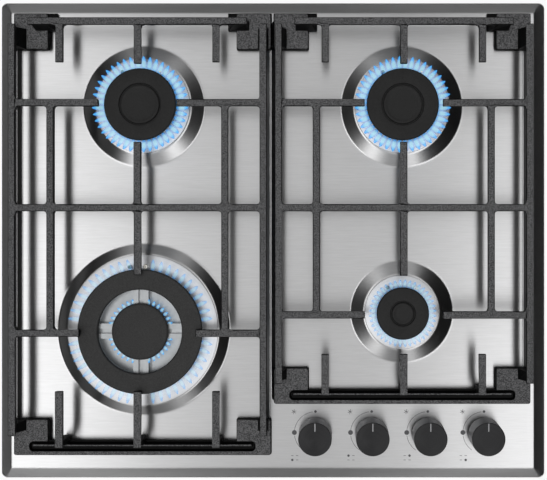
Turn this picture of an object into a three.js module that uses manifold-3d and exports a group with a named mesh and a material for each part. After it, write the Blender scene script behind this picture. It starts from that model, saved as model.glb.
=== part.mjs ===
// A 60 cm built-in gas cooktop with four burners, in millimetres.
// +Z is up, +X is to the right and -Y is the front, where the knobs are.
// The origin lies under the middle of the top plate, on the underside of the base pan.

import * as THREE from 'three';
import { mergeGeometries, mergeVertices } from 'three/addons/utils/BufferGeometryUtils.js';
import Module from 'manifold-3d';

// Driving dimensions of the top plate
const PLATE_WIDTH = 580;
const PLATE_DEPTH = 507;
const PLATE_SHEET = 1;
const RIM_RUN = 12; // width of the bevelled rim, seen from above
const RIM_RISE = 8; // from the rim's underside to the plateau
const RIM_EDGE = 1.2; // upright edge below the bevel
const RIM_CORNER = 6;
const PLATEAU_CORNER = 1.5;
const WELL_DEPTH = 3;
const WELL_SLOPE = 4.6; // width of the sloped side of a well
const WELL_CORNER = 4;
const SIDE_LAND = 7; // level strip between the rim and the wells
const REAR_LAND = 8.1;
const FRONT_LAND = 17.5; // in front of the left well
const CONTROL_LAND = 71.5; // in front of the right well, where the knobs are
const RIDGE_LEFT = -3.2; // edges of the narrow ridge between the wells
const RIDGE_RIGHT = -1;
const BOSS_RISE = 5.5; // burner boss above the well's floor
const BOSS_FOOT = 1; // depth of the boss below the well's floor
const BOSS_SEGMENTS = 26;

// Driving dimensions below the plate
const PAN_HEIGHT = 44; // from its underside to the worktop's face
const PAN_SHEET = 1;
const PAN_FLANGE = 3;
const FLANGE_MARGIN = 1; // flange's edge inside the plate's level top
const PAN_CORNER = 8;
const VENT_COUNT = 8;
const VENT_PITCH = 26;
const VENT_WIDTH = 6;
const VENT_LENGTH = 46;
const VENT_FRONT = -30;
const CLAMP_THICKNESS = 2;
const CLAMP_WIDTH = 30;
const CLAMP_REACH = 13;
const CLAMP_TOP = 38;
const SEAL_THICKNESS = 2;
const SEAL_WIDTH = 8;
const SEAL_INSET = 1.5; // seal's outer edge inside the rim's edge
const WORKTOP_THICKNESS = 34;
const INLET_RADIUS = 8;
const INLET_WALL = 3;
const INLET_HEIGHT = 20;
const INLET_REACH = 9; // beyond the pan's rear wall
const GLAND_RADIUS = 7;
const GLAND_WALL = 3.5;
const GLAND_COLLAR = 3; // collar's edge beyond the gland's body
const GLAND_COLLAR_LENGTH = 6.7;
const GLAND_SPACING = 66; // from the gas inlet's middle
const GLAND_HEIGHT = 20;
const GLAND_INSIDE = 14; // gland's ends from the pan's outer face
const GLAND_OUTSIDE = 4;
const MODULE_WIDTH = 62;
const MODULE_DEPTH = 40;
const MODULE_HEIGHT = 26;
const MODULE_CORNER = 3;
const MODULE_DRAFT = 1;
const MODULE_SIDE_MARGIN = 28.5; // from the pan's left and front faces
const MODULE_FRONT_MARGIN = 23;

// Clearances
const GAP = 0.3; // between pieces that rest on each other
const FIT = 0.4; // round pins, stems and bodies in their holes

// Driving dimensions of the burners
const REAR_ROW = 142.3;
const LEFT_FRONT_ROW = -94.4;
const RIGHT_FRONT_ROW = -75.6;
const BURNER_SHIFT = 1.3; // burner's middle outside the middle of its half of the wells
const MEDIUM_CAP = 37.6; // cap radius of the two rear burners
const MEDIUM_DISH = 20.3; // radius of the cap's middle disc
const MEDIUM_SEAT = 13.2; // boss's level top beyond the cap's edge
const MEDIUM_SLOPE = 13.4; // run of the boss's sloped side
const LARGE_CAP = 65;
const LARGE_SEAT = 15.5;
const LARGE_SLOPE = 10.6;
const SMALL_CAP = 27.3;
const SMALL_DISH = 11.5;
const SMALL_SEAT = 12.85;
const SMALL_SLOPE = 14.05;
const CUP_FLANGE = 1.7; // thickness of the cup's bright flange
const CUP_MARGIN = 1; // flange's edge inside the edge of the boss
const CUP_WALL = 3;
const CUP_BOTTOM = 22;
const CUP_CONE = 5; // rise of the cup's sloped bottom
const CUP_INSET = 6; // cup's body inside the cap's edge, clear of the pins
const HOLE_MARGIN = 8; // plate's hole outside the cap's edge, clear of the pins
const INJECTOR_RADIUS = 11;
const INJECTOR_HEIGHT = 13;
const BORE_RADIUS = 6.5; // gas throat in cup and spreader
const CROWN_WALL = 2.6;
const CROWN_FLOOR = 2;
const SPIGOT_WALL = 1.5;
const SPIGOT_DIP = 7; // how far the spreader's tube dips into the cup
const CROWN_INSET = 1.8; // crown's wall inside the cap's edge
const CAP_TOP = 23; // above the well's floor
const CAP_THICKNESS = 4;
const CAP_EDGE = 1; // rounding of the cap's upper edge
const CAP_STEP = 0.6; // rise of the cap's middle disc
const PORT_DEPTH = 3.6;
const PORT_WIDTH = 2.4; // at the top of the V-shaped port
// The triple burner's ring cap, inner crown and bridges
const RING_HOLE = 43.8;
const CENTRE_CAP = 29.8;
const CENTRE_DOME = 1.5;
const INNER_PORTS = 16;
const BRIDGE_WIDTH = 16;
const BRIDGE_GROOVE = 5;
const BRIDGE_GROOVE_DEPTH = 3;
const BRIDGE_DEPTH = 7;

// Driving dimensions of the pins beside each burner
const SPARK_RADIUS = 2.4; // ceramic body
const SPARK_TIP_RADIUS = 1;
const SPARK_CERAMIC_TOP = 12.5; // above the well's floor
const SPARK_TIP_TOP = 18;
const SPARK_LENGTH = 28;
const SPARK_TAIL = 6; // wire terminal below the ceramic
const SPARK_POINT = 1;
const SPARK_OFFSET = 2.2; // pin's middle outside the cap's edge
const COUPLE_RADIUS = 2;
const COUPLE_TOP = 15.5;
const COUPLE_LENGTH = 32;
const COUPLE_OFFSET = 3;
const COUPLE_NOSE = 3; // length and radius of the tapered end
const COUPLE_NOSE_RADIUS = 1.4;
const COUPLE_POINT = 1;

// Driving dimensions of the grates
const GRATE_TOP = 34; // above the well's floor
const BAR_WIDTH = 6.5;
const BAR_DEPTH = 10;
const TIP_DEPTH = 6.5; // depth of a finger at its free end
const BAR_FILLET = 3;
const SIDE_OVERHANG = 2; // feet beyond the wells' edges
const REAR_OVERHANG = 6.7;
const FRONT_OVERHANG = 2.8;
const LEFT_GRATE_RIGHT = -0.8;
const RIGHT_GRATE_LEFT = 1.2;
const SIDE_BAR_INSET = 6.8; // side bar's middle from the foot's outer edge
const REAR_BAR_INSET = 13.9; // rear bar's middle from the rear edge
const SIDE_BAR_REAR_INSET = 16.9; // side bar's ends from the feet's edges
const SIDE_BAR_FRONT_INSET = 27;
const REAR_BAR_END_INSET = 23.8; // rear bar's ends from the feet's edges
const MIDDLE_ROW = 34.5; // the bar between front and rear burner
const INNER_BAR = 89.8; // bars beside the burners, from the burner's middle
const SHORT_FINGER = 80.7; // short fingers, from the burner's middle
const REAR_SHORT_LENGTH = 42; // from the rear bar's middle
const FRONT_POST_INSET = 14.7; // front fingers' posts from the front edge
const POST_TOE = 3.5; // how far a post's sloped face runs forward at its foot
const SMALL_FINGER_RADIUS = 40.7; // finger ends from the middle of a small burner
const LARGE_FINGER_RADIUS = 60.3;
const FOOT_WIDTH = 37.4;
const FOOT_LENGTH = 39.2;
const FOOT_UNDERSIDE = 3.6; // above the well's floor
const FOOT_TOP = 9.5;
const FOOT_DRAFT = 0.8;
const FOOT_CORNER = 2;
const WEB_DRAFT = 4;
const REAR_WEB_LENGTH = 22;
const REAR_TOE_LENGTH = 46;
const REAR_TOE_WIDTH = 18;
const REAR_TOE_THICKNESS = 3;
const RAIL_WIDTH = 16;
const RAIL_REAR_TOP = 7.5; // rail's rear edge above the well's floor
const RAIL_REAR_LIP = 1.4;
const TROUGH_LIP = 4.9; // lip in front of the rail's trough
const TROUGH_WIDTH = 10.3; // at its open top
const TROUGH_FLOOR = 5.4; // above the well's floor
const TROUGH_DRAFT = 1.3; // run of its walls
const TROUGH_CORNER = 4;
const TROUGH_END = 17; // trough's ends from the grate's sides
const RIB_INSET = 11.4; // rib's middle from the front edge
const RIB_WIDTH = 3;
const RIB_TOP = 10.5; // above the well's floor
const RIB_CHAMFER = 0.6;
const RIB_DRAFT = 0.4; // on each side
const RIB_END = 3.5; // from the trough's end
const RUBBER_RADIUS = 6;
const RUBBER_INSET = 25; // rubber foot's middle from the grate's front and rear edges
const RUBBER_STEM_RADIUS = 2.4;
const RUBBER_STEM_LENGTH = 3.6;

// Driving dimensions of the knobs and taps
const KNOB_FIRST_X = 45.5;
const KNOB_PITCH = 59.6;
const KNOB_INSET = 49.5; // knobs' row from the plate's front edge
const KNOB_RADIUS = 17.5;
const KNOB_TAPER = 0.4;
const KNOB_TOP = 32; // above the well's floor
const KNOB_CLEARANCE = 5.5; // knob's underside above the plateau
const KNOB_WALL = 2;
const KNOB_CHAMFER = 0.8;
const KNOB_HUB_RADIUS = 6.5;
const KNOB_TRAVEL = 3.5;
const HUB_LID = 2; // metal between the stem's end and the knob's ceiling
const STEM_RADIUS = 4;
const STEM_FLAT = 2.4; // flats on the stem's lower end, from its middle
const STEM_HOLE = 5.5;
const STEM_GRIP = 13; // length of stem inside the knob's hub
const STEM_DIP = 8; // length of stem inside the plug
const END_PLAY = 0.5; // beyond the stem's travel
const PLUG_RADIUS = 7.5;
const PLUG_HEIGHT = 20;
const PLUG_TAPER = 1;
const TAP_WIDTH = 22;
const TAP_DEPTH = 24;
const TAP_BOTTOM = 12;
const TAP_TOP = 44;
const TAP_WALL = 4; // metal under the plug
const TAP_HEADROOM = 1; // over the plug
const TAP_PORT = 10; // width and height of the branch to the manifold
const TUBE_RADIUS = 3;
const TUBE_HEIGHT = 17;
const TUBE_SIDES = 8;
const TUBE_STEPS = 10;
const TUBE_RUN_OUT = 20; // straight run behind the tap
const TUBE_RUN_IN = 14; // straight run into the injector holder
const TUBE_APPROACH = 36;
const TUBE_DIP = 2; // the last bend above the tube's long run
const MANIFOLD_RADIUS = 6.5;
const MANIFOLD_HEIGHT = 34;
const MANIFOLD_SETBACK = 22.5; // behind the knobs' row
const MANIFOLD_SIDE_MARGIN = 19.5; // from the pan's right and rear faces
const MANIFOLD_REAR_MARGIN = 34;
const MANIFOLD_START = 24;
const FITTING_WALL = 2;
const INLET_BLOCK_WALL = 3;

// Sides of the turned pieces
const PIN_SIDES = 8;
const PIPE_SIDES = 10;
const STEM_SIDES = 12;
const CUP_SIDES = 16;
const KNOB_SIDES = 20;
const CROWN_SIDES = 22;
const CAP_SIDES = 28;

const PLATE_SIDE = PLATE_WIDTH / 2;
const PLATE_END = PLATE_DEPTH / 2;
const WELL_SIDE = PLATE_SIDE - RIM_RUN - SIDE_LAND;
const WELL_REAR = PLATE_END - RIM_RUN - REAR_LAND;
const WELL_FRONT_LEFT = RIM_RUN + FRONT_LAND - PLATE_END;
const WELL_FRONT_RIGHT = RIM_RUN + CONTROL_LAND - PLATE_END;
const PAN_SIDE = PLATE_SIDE - RIM_RUN - FLANGE_MARGIN - PAN_FLANGE;
const PAN_END = PLATE_END - RIM_RUN - FLANGE_MARGIN - PAN_FLANGE;
const BURNER_X = WELL_SIDE / 2 + BURNER_SHIFT;
const LEFT_GRATE_LEFT = -WELL_SIDE - SIDE_OVERHANG;
const RIGHT_GRATE_RIGHT = WELL_SIDE + SIDE_OVERHANG;
const GRATE_REAR = WELL_REAR + REAR_OVERHANG;
const LEFT_GRATE_FRONT = WELL_FRONT_LEFT - FRONT_OVERHANG;
const RIGHT_GRATE_FRONT = WELL_FRONT_RIGHT - FRONT_OVERHANG;
const KNOB_ROW = KNOB_INSET - PLATE_END;
const MANIFOLD_ROW = KNOB_ROW + MANIFOLD_SETBACK;
const MANIFOLD_SIDE = PAN_SIDE - MANIFOLD_SIDE_MARGIN;
const MANIFOLD_REAR = PAN_END - MANIFOLD_REAR_MARGIN;
const BOTTOM_OF_RIM = PAN_HEIGHT + SEAL_THICKNESS;
const PLATEAU = BOTTOM_OF_RIM + RIM_RISE;
const WELL_FLOOR = PLATEAU - WELL_DEPTH;
const BOSS_TOP = WELL_FLOOR + BOSS_RISE;
const FLANGE_TOP = BOSS_TOP + GAP + CUP_FLANGE;
const CAP_UNDERSIDE = WELL_FLOOR + CAP_TOP - CAP_THICKNESS;
const CROWN_TOP = CAP_UNDERSIDE - GAP;
const BARS_TOP = WELL_FLOOR + GRATE_TOP;
const BARS_UNDERSIDE = BARS_TOP - BAR_DEPTH;
const KNOB_UNDERSIDE = PLATEAU + KNOB_CLEARANCE;
const KNOB_FACE = WELL_FLOOR + KNOB_TOP;
const KNOB_CEILING = KNOB_FACE - KNOB_WALL;
const STEM_TOP = KNOB_CEILING - HUB_LID;
const PLUG_BOTTOM = TAP_BOTTOM + TAP_WALL;
const PLUG_TOP = PLUG_BOTTOM + PLUG_HEIGHT;
const STEM_BOTTOM = PLUG_TOP - STEM_DIP;
const THROUGH = 5; // how far a cutting tool runs past the piece
const JOIN = 1; // how far two joined forms run into each other

// The four burners: cap, seat, boss and port count, with the middle of each
const MEDIUM = { cap: MEDIUM_CAP, dish: MEDIUM_DISH, seat: MEDIUM_CAP + MEDIUM_SEAT,
  boss: MEDIUM_CAP + MEDIUM_SEAT + MEDIUM_SLOPE, ports: 44, fingers: SMALL_FINGER_RADIUS,
  sparkAngle: 60, coupleAngle: 120 };
const REAR_LEFT = { ...MEDIUM, name: 'rear_left', x: -BURNER_X, y: REAR_ROW };
const REAR_RIGHT = { ...MEDIUM, name: 'rear_right', x: BURNER_X, y: REAR_ROW };
const FRONT_LEFT = { name: 'front_left', x: -BURNER_X, y: LEFT_FRONT_ROW, triple: true,
  cap: LARGE_CAP, seat: LARGE_CAP + LARGE_SEAT, boss: LARGE_CAP + LARGE_SEAT + LARGE_SLOPE, ports: 56,
  fingers: LARGE_FINGER_RADIUS, sparkAngle: 87, coupleAngle: 101 };
const FRONT_RIGHT = { name: 'front_right', x: BURNER_X, y: RIGHT_FRONT_ROW, cap: SMALL_CAP, dish: SMALL_DISH,
  seat: SMALL_CAP + SMALL_SEAT, boss: SMALL_CAP + SMALL_SEAT + SMALL_SLOPE, ports: 40,
  fingers: SMALL_FINGER_RADIUS, sparkAngle: 60, coupleAngle: 120 };
const BURNERS = [REAR_LEFT, REAR_RIGHT, FRONT_LEFT, FRONT_RIGHT];

const wasm = await Module();
wasm.setup();

// ---- Making and joining closed solids ----

function toSolid(geometry) {
  const bare = geometry.clone();
  bare.deleteAttribute('normal');
  bare.deleteAttribute('uv');
  const welded = mergeVertices(bare, 1e-4);
  const corners = Array.from(welded.index.array);
  const triangles = [];
  for (let i = 0; i < corners.length; i += 3) {
    const [a, b, c] = corners.slice(i, i + 3);
    if (a !== b && b !== c && c !== a) triangles.push(a, b, c);
  }
  return new wasm.Manifold(new wasm.Mesh({
    numProp: 3,
    vertProperties: new Float32Array(welded.attributes.position.array),
    triVerts: new Uint32Array(triangles),
  }));
}

function toGeometry(solid) {
  const mesh = solid.getMesh();
  const geometry = new THREE.BufferGeometry();
  geometry.setAttribute('position', new THREE.BufferAttribute(new Float32Array(mesh.vertProperties), 3));
  geometry.setIndex(new THREE.BufferAttribute(new Uint32Array(mesh.triVerts), 1));
  geometry.computeVertexNormals();
  return geometry;
}

function union(solids) {
  return solids.reduce((whole, solid) => whole.add(solid));
}

// A closed solid through a stack of level rings with equal numbers of points
function loft(rings) {
  const count = rings[0].length;
  const index = [];
  for (let level = 0; level + 1 < rings.length; level++) {
    for (let i = 0; i < count; i++) {
      const a = level * count + i;
      const b = level * count + ((i + 1) % count);
      index.push(a, b, b + count, a, b + count, a + count);
    }
  }
  const lid = (ring) => THREE.ShapeUtils.triangulateShape(ring.map((p) => new THREE.Vector2(p.x, p.y)), []);
  const last = (rings.length - 1) * count;
  for (const [a, b, c] of lid(rings[0])) index.push(a, c, b);
  for (const [a, b, c] of lid(rings.at(-1))) index.push(last + a, last + b, last + c);
  const geometry = new THREE.BufferGeometry();
  const places = rings.flat().flatMap((p) => [p.x, p.y, p.z]);
  geometry.setAttribute('position', new THREE.Float32BufferAttribute(places, 3));
  geometry.setIndex(index);
  return toSolid(geometry);
}

// A level ring: a rectangle with rounded corners, counterclockwise from above
function roundedRing([left, right, front, rear], radius, z, steps = 3) {
  const middles = [[right - radius, rear - radius], [left + radius, rear - radius],
    [left + radius, front + radius], [right - radius, front + radius]];
  return middles.flatMap(([x, y], corner) => {
    return Array.from({ length: steps + 1 }, (_, step) => {
      const angle = (corner + step / steps) * Math.PI / 2;
      return new THREE.Vector3(x + radius * Math.cos(angle), y + radius * Math.sin(angle), z);
    });
  });
}

function rectangleRing([left, right, front, rear], z) {
  return [[left, front], [right, front], [right, rear], [left, rear]]
    .map(([x, y]) => new THREE.Vector3(x, y, z));
}

function grow([left, right, front, rear], by) {
  return [left - by, right + by, front - by, rear + by];
}

function centred(width, depth) {
  return [-width / 2, width / 2, -depth / 2, depth / 2];
}

function block([left, right, front, rear], bottom, top) {
  const outline = [left, right, front, rear];
  return loft([rectangleRing(outline, bottom), rectangleRing(outline, top)]);
}

// A turned piece about a vertical axis through (x, y); the profile is a list of [radius, z]
function turned(profile, segments, x = 0, y = 0) {
  const points = profile.map(([radius, z]) => new THREE.Vector2(radius, z));
  const geometry = new THREE.LatheGeometry(points, segments);
  geometry.rotateX(Math.PI / 2);
  geometry.translate(x, y, 0);
  return toSolid(geometry);
}

function cylinder(radius, bottom, top, segments, x = 0, y = 0) {
  return turned([[0, bottom], [radius, bottom], [radius, top], [0, top]], segments, x, y);
}

// Three-sided wedges set like spokes, which cut the V-shaped ports through a crown's wall
function portCutters(count, inner, outer, burner) {
  const excess = 1;
  const half = (PORT_WIDTH / 2) * (PORT_DEPTH + excess) / PORT_DEPTH;
  const apex = PORT_DEPTH - CROWN_TOP;
  const section = new THREE.Shape([new THREE.Vector2(apex, 0), new THREE.Vector2(-CROWN_TOP - excess, half),
    new THREE.Vector2(-CROWN_TOP - excess, -half)]);
  const wedges = [];
  for (let i = 0; i < count; i++) {
    const wedge = new THREE.ExtrudeGeometry(section, { depth: outer - inner, bevelEnabled: false });
    wedge.rotateY(Math.PI / 2);
    wedge.translate(inner, 0, 0);
    wedge.rotateZ(((i + 0.5) / count) * Math.PI * 2);
    wedges.push(wedge);
  }
  return toSolid(mergeGeometries(wedges).translate(burner.x, burner.y, 0));
}

function polar(burner, radius, degrees) {
  const angle = THREE.MathUtils.degToRad(degrees);
  return [burner.x + radius * Math.cos(angle), burner.y + radius * Math.sin(angle)];
}

// ---- Materials ----

const finish = (color, roughness, metalness) =>
  new THREE.MeshStandardMaterial({ color, roughness, metalness });
const MATERIALS = {
  stainless: finish(0xc9cacb, 0.35, 1),
  enamelledIron: finish(0x45464a, 0.7, 0.2),
  enamel: finish(0x2b2b2d, 0.55, 0.1),
  aluminium: finish(0xb9bcc0, 0.45, 0.9),
  ceramic: finish(0xeeeae0, 0.4, 0),
  copper: finish(0xb98a5e, 0.4, 0.9),
  rubber: finish(0x1c1c1d, 0.9, 0),
  anthracite: finish(0x3c3d40, 0.4, 0.8),
  brass: finish(0xb7995c, 0.35, 0.9),
  galvanised: finish(0x9ea3a6, 0.5, 0.8),
  plastic: finish(0x26272a, 0.6, 0),
};

const cooktop = new THREE.Group();

function addPiece(name, solid, material) {
  const mesh = new THREE.Mesh(toGeometry(solid), material);
  mesh.name = name;
  cooktop.add(mesh);
}

// ---- Top plate ----

const WELLS = [
  [-WELL_SIDE, RIDGE_LEFT, WELL_FRONT_LEFT, WELL_REAR],
  [RIDGE_RIGHT, WELL_SIDE, WELL_FRONT_RIGHT, WELL_REAR],
];

// The solid below one face of the pressed sheet; inset is 0 above and one sheet below
function underSkin(inset) {
  const outer = grow(centred(PLATE_WIDTH, PLATE_DEPTH), -inset);
  const plateau = grow(centred(PLATE_WIDTH, PLATE_DEPTH), -RIM_RUN - inset / 2);
  const below = inset > 0 ? THROUGH : 0;
  let skin = loft([
    roundedRing(outer, RIM_CORNER - inset, BOTTOM_OF_RIM - below),
    roundedRing(outer, RIM_CORNER - inset, BOTTOM_OF_RIM + RIM_EDGE - inset / 2),
    roundedRing(plateau, PLATEAU_CORNER, PLATEAU - inset),
  ]);
  for (const well of WELLS) {
    const steepness = WELL_SLOPE / WELL_DEPTH;
    const edge = grow(well, inset / 2);
    skin = skin.subtract(loft([
      roundedRing(grow(edge, -WELL_SLOPE), WELL_CORNER, WELL_FLOOR - inset),
      roundedRing(grow(edge, steepness * THROUGH), WELL_CORNER, PLATEAU - inset + THROUGH),
    ]));
  }
  for (const burner of BURNERS) {
    skin = skin.add(turned([
      [0, WELL_FLOOR - inset - BOSS_FOOT], [burner.boss - inset / 2, WELL_FLOOR - inset - BOSS_FOOT],
      [burner.boss - inset / 2, WELL_FLOOR - inset],
      [burner.seat - inset / 2, BOSS_TOP - inset], [0, BOSS_TOP - inset],
    ], BOSS_SEGMENTS, burner.x, burner.y));
  }
  return skin;
}

function topPlate() {
  let plate = underSkin(0).subtract(underSkin(PLATE_SHEET));
  for (const burner of BURNERS) {
    plate = plate.subtract(cylinder(cupHole(burner), 0, BARS_TOP, BOSS_SEGMENTS, burner.x, burner.y));
  }
  for (const x of knobPlaces()) {
    plate = plate.subtract(cylinder(STEM_HOLE, 0, BARS_TOP, STEM_SIDES, x, KNOB_ROW));
  }
  return plate;
}

// ---- Base pan, seal and clamps ----

function basePan() {
  const outline = centred(2 * PAN_SIDE, 2 * PAN_END);
  const flangeTop = PLATEAU - PLATE_SHEET - GAP;
  const flange = loft([
    roundedRing(grow(outline, PAN_FLANGE), PAN_CORNER + PAN_FLANGE, flangeTop - PAN_SHEET, 2),
    roundedRing(grow(outline, PAN_FLANGE), PAN_CORNER + PAN_FLANGE, flangeTop, 2),
  ]);
  let pan = loft([roundedRing(outline, PAN_CORNER, 0, 2), roundedRing(outline, PAN_CORNER, flangeTop, 2)])
    .add(flange);
  const inside = grow(outline, -PAN_SHEET);
  pan = pan.subtract(loft([
    roundedRing(inside, PAN_CORNER - PAN_SHEET, PAN_SHEET, 2),
    roundedRing(inside, PAN_CORNER - PAN_SHEET, PLATEAU, 2),
  ]));
  for (let i = 0; i < VENT_COUNT; i++) {
    const x = (i - (VENT_COUNT - 1) / 2) * VENT_PITCH;
    pan = pan.subtract(block([x - VENT_WIDTH / 2, x + VENT_WIDTH / 2, VENT_FRONT, VENT_FRONT + VENT_LENGTH],
      -THROUGH, THROUGH));
  }
  const inletHole = alongY(INLET_RADIUS + FIT, PAN_END - THROUGH, PAN_END + THROUGH, CUP_SIDES);
  const glandHole = alongY(GLAND_RADIUS + FIT, PAN_END - THROUGH, PAN_END + THROUGH, STEM_SIDES);
  return pan.subtract(inletHole.translate([MANIFOLD_SIDE, 0, INLET_HEIGHT]))
    .subtract(glandHole.translate([MANIFOLD_SIDE - GLAND_SPACING, 0, GLAND_HEIGHT]));
}

// A round bar along Y from one y to another
function alongY(radius, from, to, segments) {
  const geometry = new THREE.CylinderGeometry(radius, radius, to - from, segments);
  return toSolid(geometry.translate(0, (from + to) / 2, 0));
}

function worktopSeal() {
  const outer = grow(centred(PLATE_WIDTH, PLATE_DEPTH), -SEAL_INSET);
  const inner = grow(outer, -SEAL_WIDTH);
  const corner = RIM_CORNER - SEAL_INSET;
  const top = BOTTOM_OF_RIM - GAP;
  return loft([roundedRing(outer, corner, PAN_HEIGHT), roundedRing(outer, corner, top)])
    .subtract(loft([
      roundedRing(inner, PLATEAU_CORNER, PAN_HEIGHT - THROUGH),
      roundedRing(inner, PLATEAU_CORNER, top + THROUGH),
    ]));
}

// An angled strip on the pan's side, whose toe pulls up against the worktop's underside
function clamp(side) {
  const wall = PAN_SIDE + GAP;
  const toeTop = PAN_HEIGHT - WORKTOP_THICKNESS;
  const halfWidth = CLAMP_WIDTH / 2;
  const outline = new THREE.Shape([
    [wall, toeTop - CLAMP_THICKNESS], [wall + CLAMP_REACH, toeTop - CLAMP_THICKNESS],
    [wall + CLAMP_REACH, toeTop], [wall + CLAMP_THICKNESS, toeTop], [wall + CLAMP_THICKNESS, CLAMP_TOP],
    [wall, CLAMP_TOP],
  ].map(([x, z]) => new THREE.Vector2(x, z)));
  const strip = new THREE.ExtrudeGeometry(outline, { depth: CLAMP_WIDTH, bevelEnabled: false });
  strip.rotateX(Math.PI / 2);
  strip.translate(0, halfWidth, 0);
  if (side < 0) strip.rotateZ(Math.PI);
  return toSolid(strip);
}

// ---- Burners ----

// Radius of the plate's hole, which lets the cup and the pins beside it pass
function cupHole(burner) {
  return burner.cap + HOLE_MARGIN;
}

function burnerCup(burner) {
  const body = burner.cap - CUP_INSET;
  const edge = burner.seat - CUP_MARGIN;
  const underFlange = BOSS_TOP + GAP;
  const shoulder = CUP_BOTTOM + INJECTOR_HEIGHT;
  const cup = turned([
    [0, CUP_BOTTOM], [INJECTOR_RADIUS, CUP_BOTTOM], [INJECTOR_RADIUS, shoulder],
    [body, shoulder + CUP_CONE], [body, underFlange], [edge, underFlange], [edge, FLANGE_TOP],
    [body - CUP_WALL, FLANGE_TOP], [body - CUP_WALL, shoulder + CUP_CONE + CUP_WALL],
    [BORE_RADIUS, shoulder + CUP_WALL], [BORE_RADIUS, shoulder - CUP_WALL], [0, shoulder - CUP_WALL],
  ], burner.triple ? BOSS_SEGMENTS : CUP_SIDES, burner.x, burner.y);
  const [sparkX, sparkY] = polar(burner, burner.cap + SPARK_OFFSET, burner.sparkAngle);
  const [coupleX, coupleY] = polar(burner, burner.cap + COUPLE_OFFSET, burner.coupleAngle);
  return cup.subtract(cylinder(SPARK_RADIUS + FIT, PAN_HEIGHT, BARS_TOP, PIN_SIDES, sparkX, sparkY))
    .subtract(cylinder(COUPLE_RADIUS + FIT, PAN_HEIGHT, BARS_TOP, PIN_SIDES, coupleX, coupleY));
}

// The crown of a small burner: a ported wall round a chamber, fed by a tube that dips into the cup
function flameSpreader(burner) {
  const wall = burner.cap - CROWN_INSET;
  const bottom = FLANGE_TOP + GAP;
  const floor = bottom + CROWN_FLOOR;
  const throat = BORE_RADIUS + SPIGOT_WALL;
  const crown = turned([
    [BORE_RADIUS, bottom - SPIGOT_DIP], [throat, bottom - SPIGOT_DIP], [throat, bottom], [wall, bottom],
    [wall, CROWN_TOP], [wall - CROWN_WALL, CROWN_TOP], [wall - CROWN_WALL, floor], [BORE_RADIUS, floor],
    [BORE_RADIUS, bottom - SPIGOT_DIP],
  ], CROWN_SIDES, burner.x, burner.y);
  return crown.subtract(portCutters(burner.ports, wall - CROWN_WALL - JOIN, wall + JOIN, burner));
}

// The triple crown: an outer trough with two ported rims, an inner crown and four bridges
function tripleSpreader(burner) {
  const outer = burner.cap - CROWN_INSET;
  const inner = RING_HOLE + CROWN_INSET;
  const core = CENTRE_CAP - CROWN_INSET;
  const bottom = FLANGE_TOP + GAP;
  const floor = bottom + CROWN_FLOOR;
  const throat = BORE_RADIUS + SPIGOT_WALL;
  const ring = turned([
    [BORE_RADIUS, bottom], [outer, bottom], [outer, CROWN_TOP], [outer - CROWN_WALL, CROWN_TOP],
    [outer - CROWN_WALL, floor], [inner + CROWN_WALL, floor], [inner + CROWN_WALL, CROWN_TOP],
    [inner, CROWN_TOP], [inner, floor], [BORE_RADIUS, floor], [BORE_RADIUS, bottom],
  ], CAP_SIDES, burner.x, burner.y);
  const centre = turned([
    [BORE_RADIUS, bottom - SPIGOT_DIP], [throat, bottom - SPIGOT_DIP], [throat, floor - JOIN],
    [core, floor - JOIN], [core, CROWN_TOP], [core - CROWN_WALL, CROWN_TOP], [core - CROWN_WALL, floor],
    [BORE_RADIUS, floor], [BORE_RADIUS, bottom - SPIGOT_DIP],
  ], CUP_SIDES, burner.x, burner.y);
  const bridgeTop = floor + BRIDGE_DEPTH;
  const bridges = [];
  const grooves = [];
  for (const [alongX, side] of [[true, 1], [true, -1], [false, 1], [false, -1]]) {
    const from = side * (core - CROWN_WALL / 2);
    const to = side * (inner + CROWN_WALL / 2);
    bridges.push(crossBlock(burner, alongX, from, to, BRIDGE_WIDTH, floor - JOIN, bridgeTop));
    grooves.push(crossBlock(burner, alongX, side * core, side * inner, BRIDGE_GROOVE,
      bridgeTop - BRIDGE_GROOVE_DEPTH, CROWN_TOP));
  }
  return union([ring, centre, ...bridges])
    .subtract(union(grooves))
    .subtract(portCutters(burner.ports, outer - CROWN_WALL - JOIN, outer + JOIN, burner))
    .subtract(portCutters(INNER_PORTS, core - CROWN_WALL - JOIN, core + JOIN, burner));
}

// A block that runs from one distance to another from a burner's middle, along X or Y
function crossBlock(burner, alongX, from, to, width, bottom, top) {
  const [near, far] = [Math.min(from, to), Math.max(from, to)];
  const half = width / 2;
  const outline = alongX
    ? [burner.x + near, burner.x + far, burner.y - half, burner.y + half]
    : [burner.x - half, burner.x + half, burner.y + near, burner.y + far];
  return block(outline, bottom, top);
}

// A round cap whose middle is a low disc, set off by a small step
function dishedCap(burner) {
  const top = CAP_UNDERSIDE + CAP_THICKNESS;
  return turned([
    [0, CAP_UNDERSIDE], [burner.cap, CAP_UNDERSIDE], [burner.cap, top - CAP_EDGE - CAP_STEP],
    [burner.cap - CAP_EDGE, top - CAP_STEP], [burner.dish + CAP_STEP, top - CAP_STEP], [burner.dish, top],
    [0, top],
  ], CAP_SIDES, burner.x, burner.y);
}

function ringCap(burner) {
  const top = CAP_UNDERSIDE + CAP_THICKNESS;
  return turned([
    [RING_HOLE, CAP_UNDERSIDE], [burner.cap, CAP_UNDERSIDE], [burner.cap, top - CAP_EDGE],
    [burner.cap - CAP_EDGE, top], [RING_HOLE + CAP_EDGE, top], [RING_HOLE, top - CAP_EDGE],
    [RING_HOLE, CAP_UNDERSIDE],
  ], CAP_SIDES, burner.x, burner.y);
}

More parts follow.
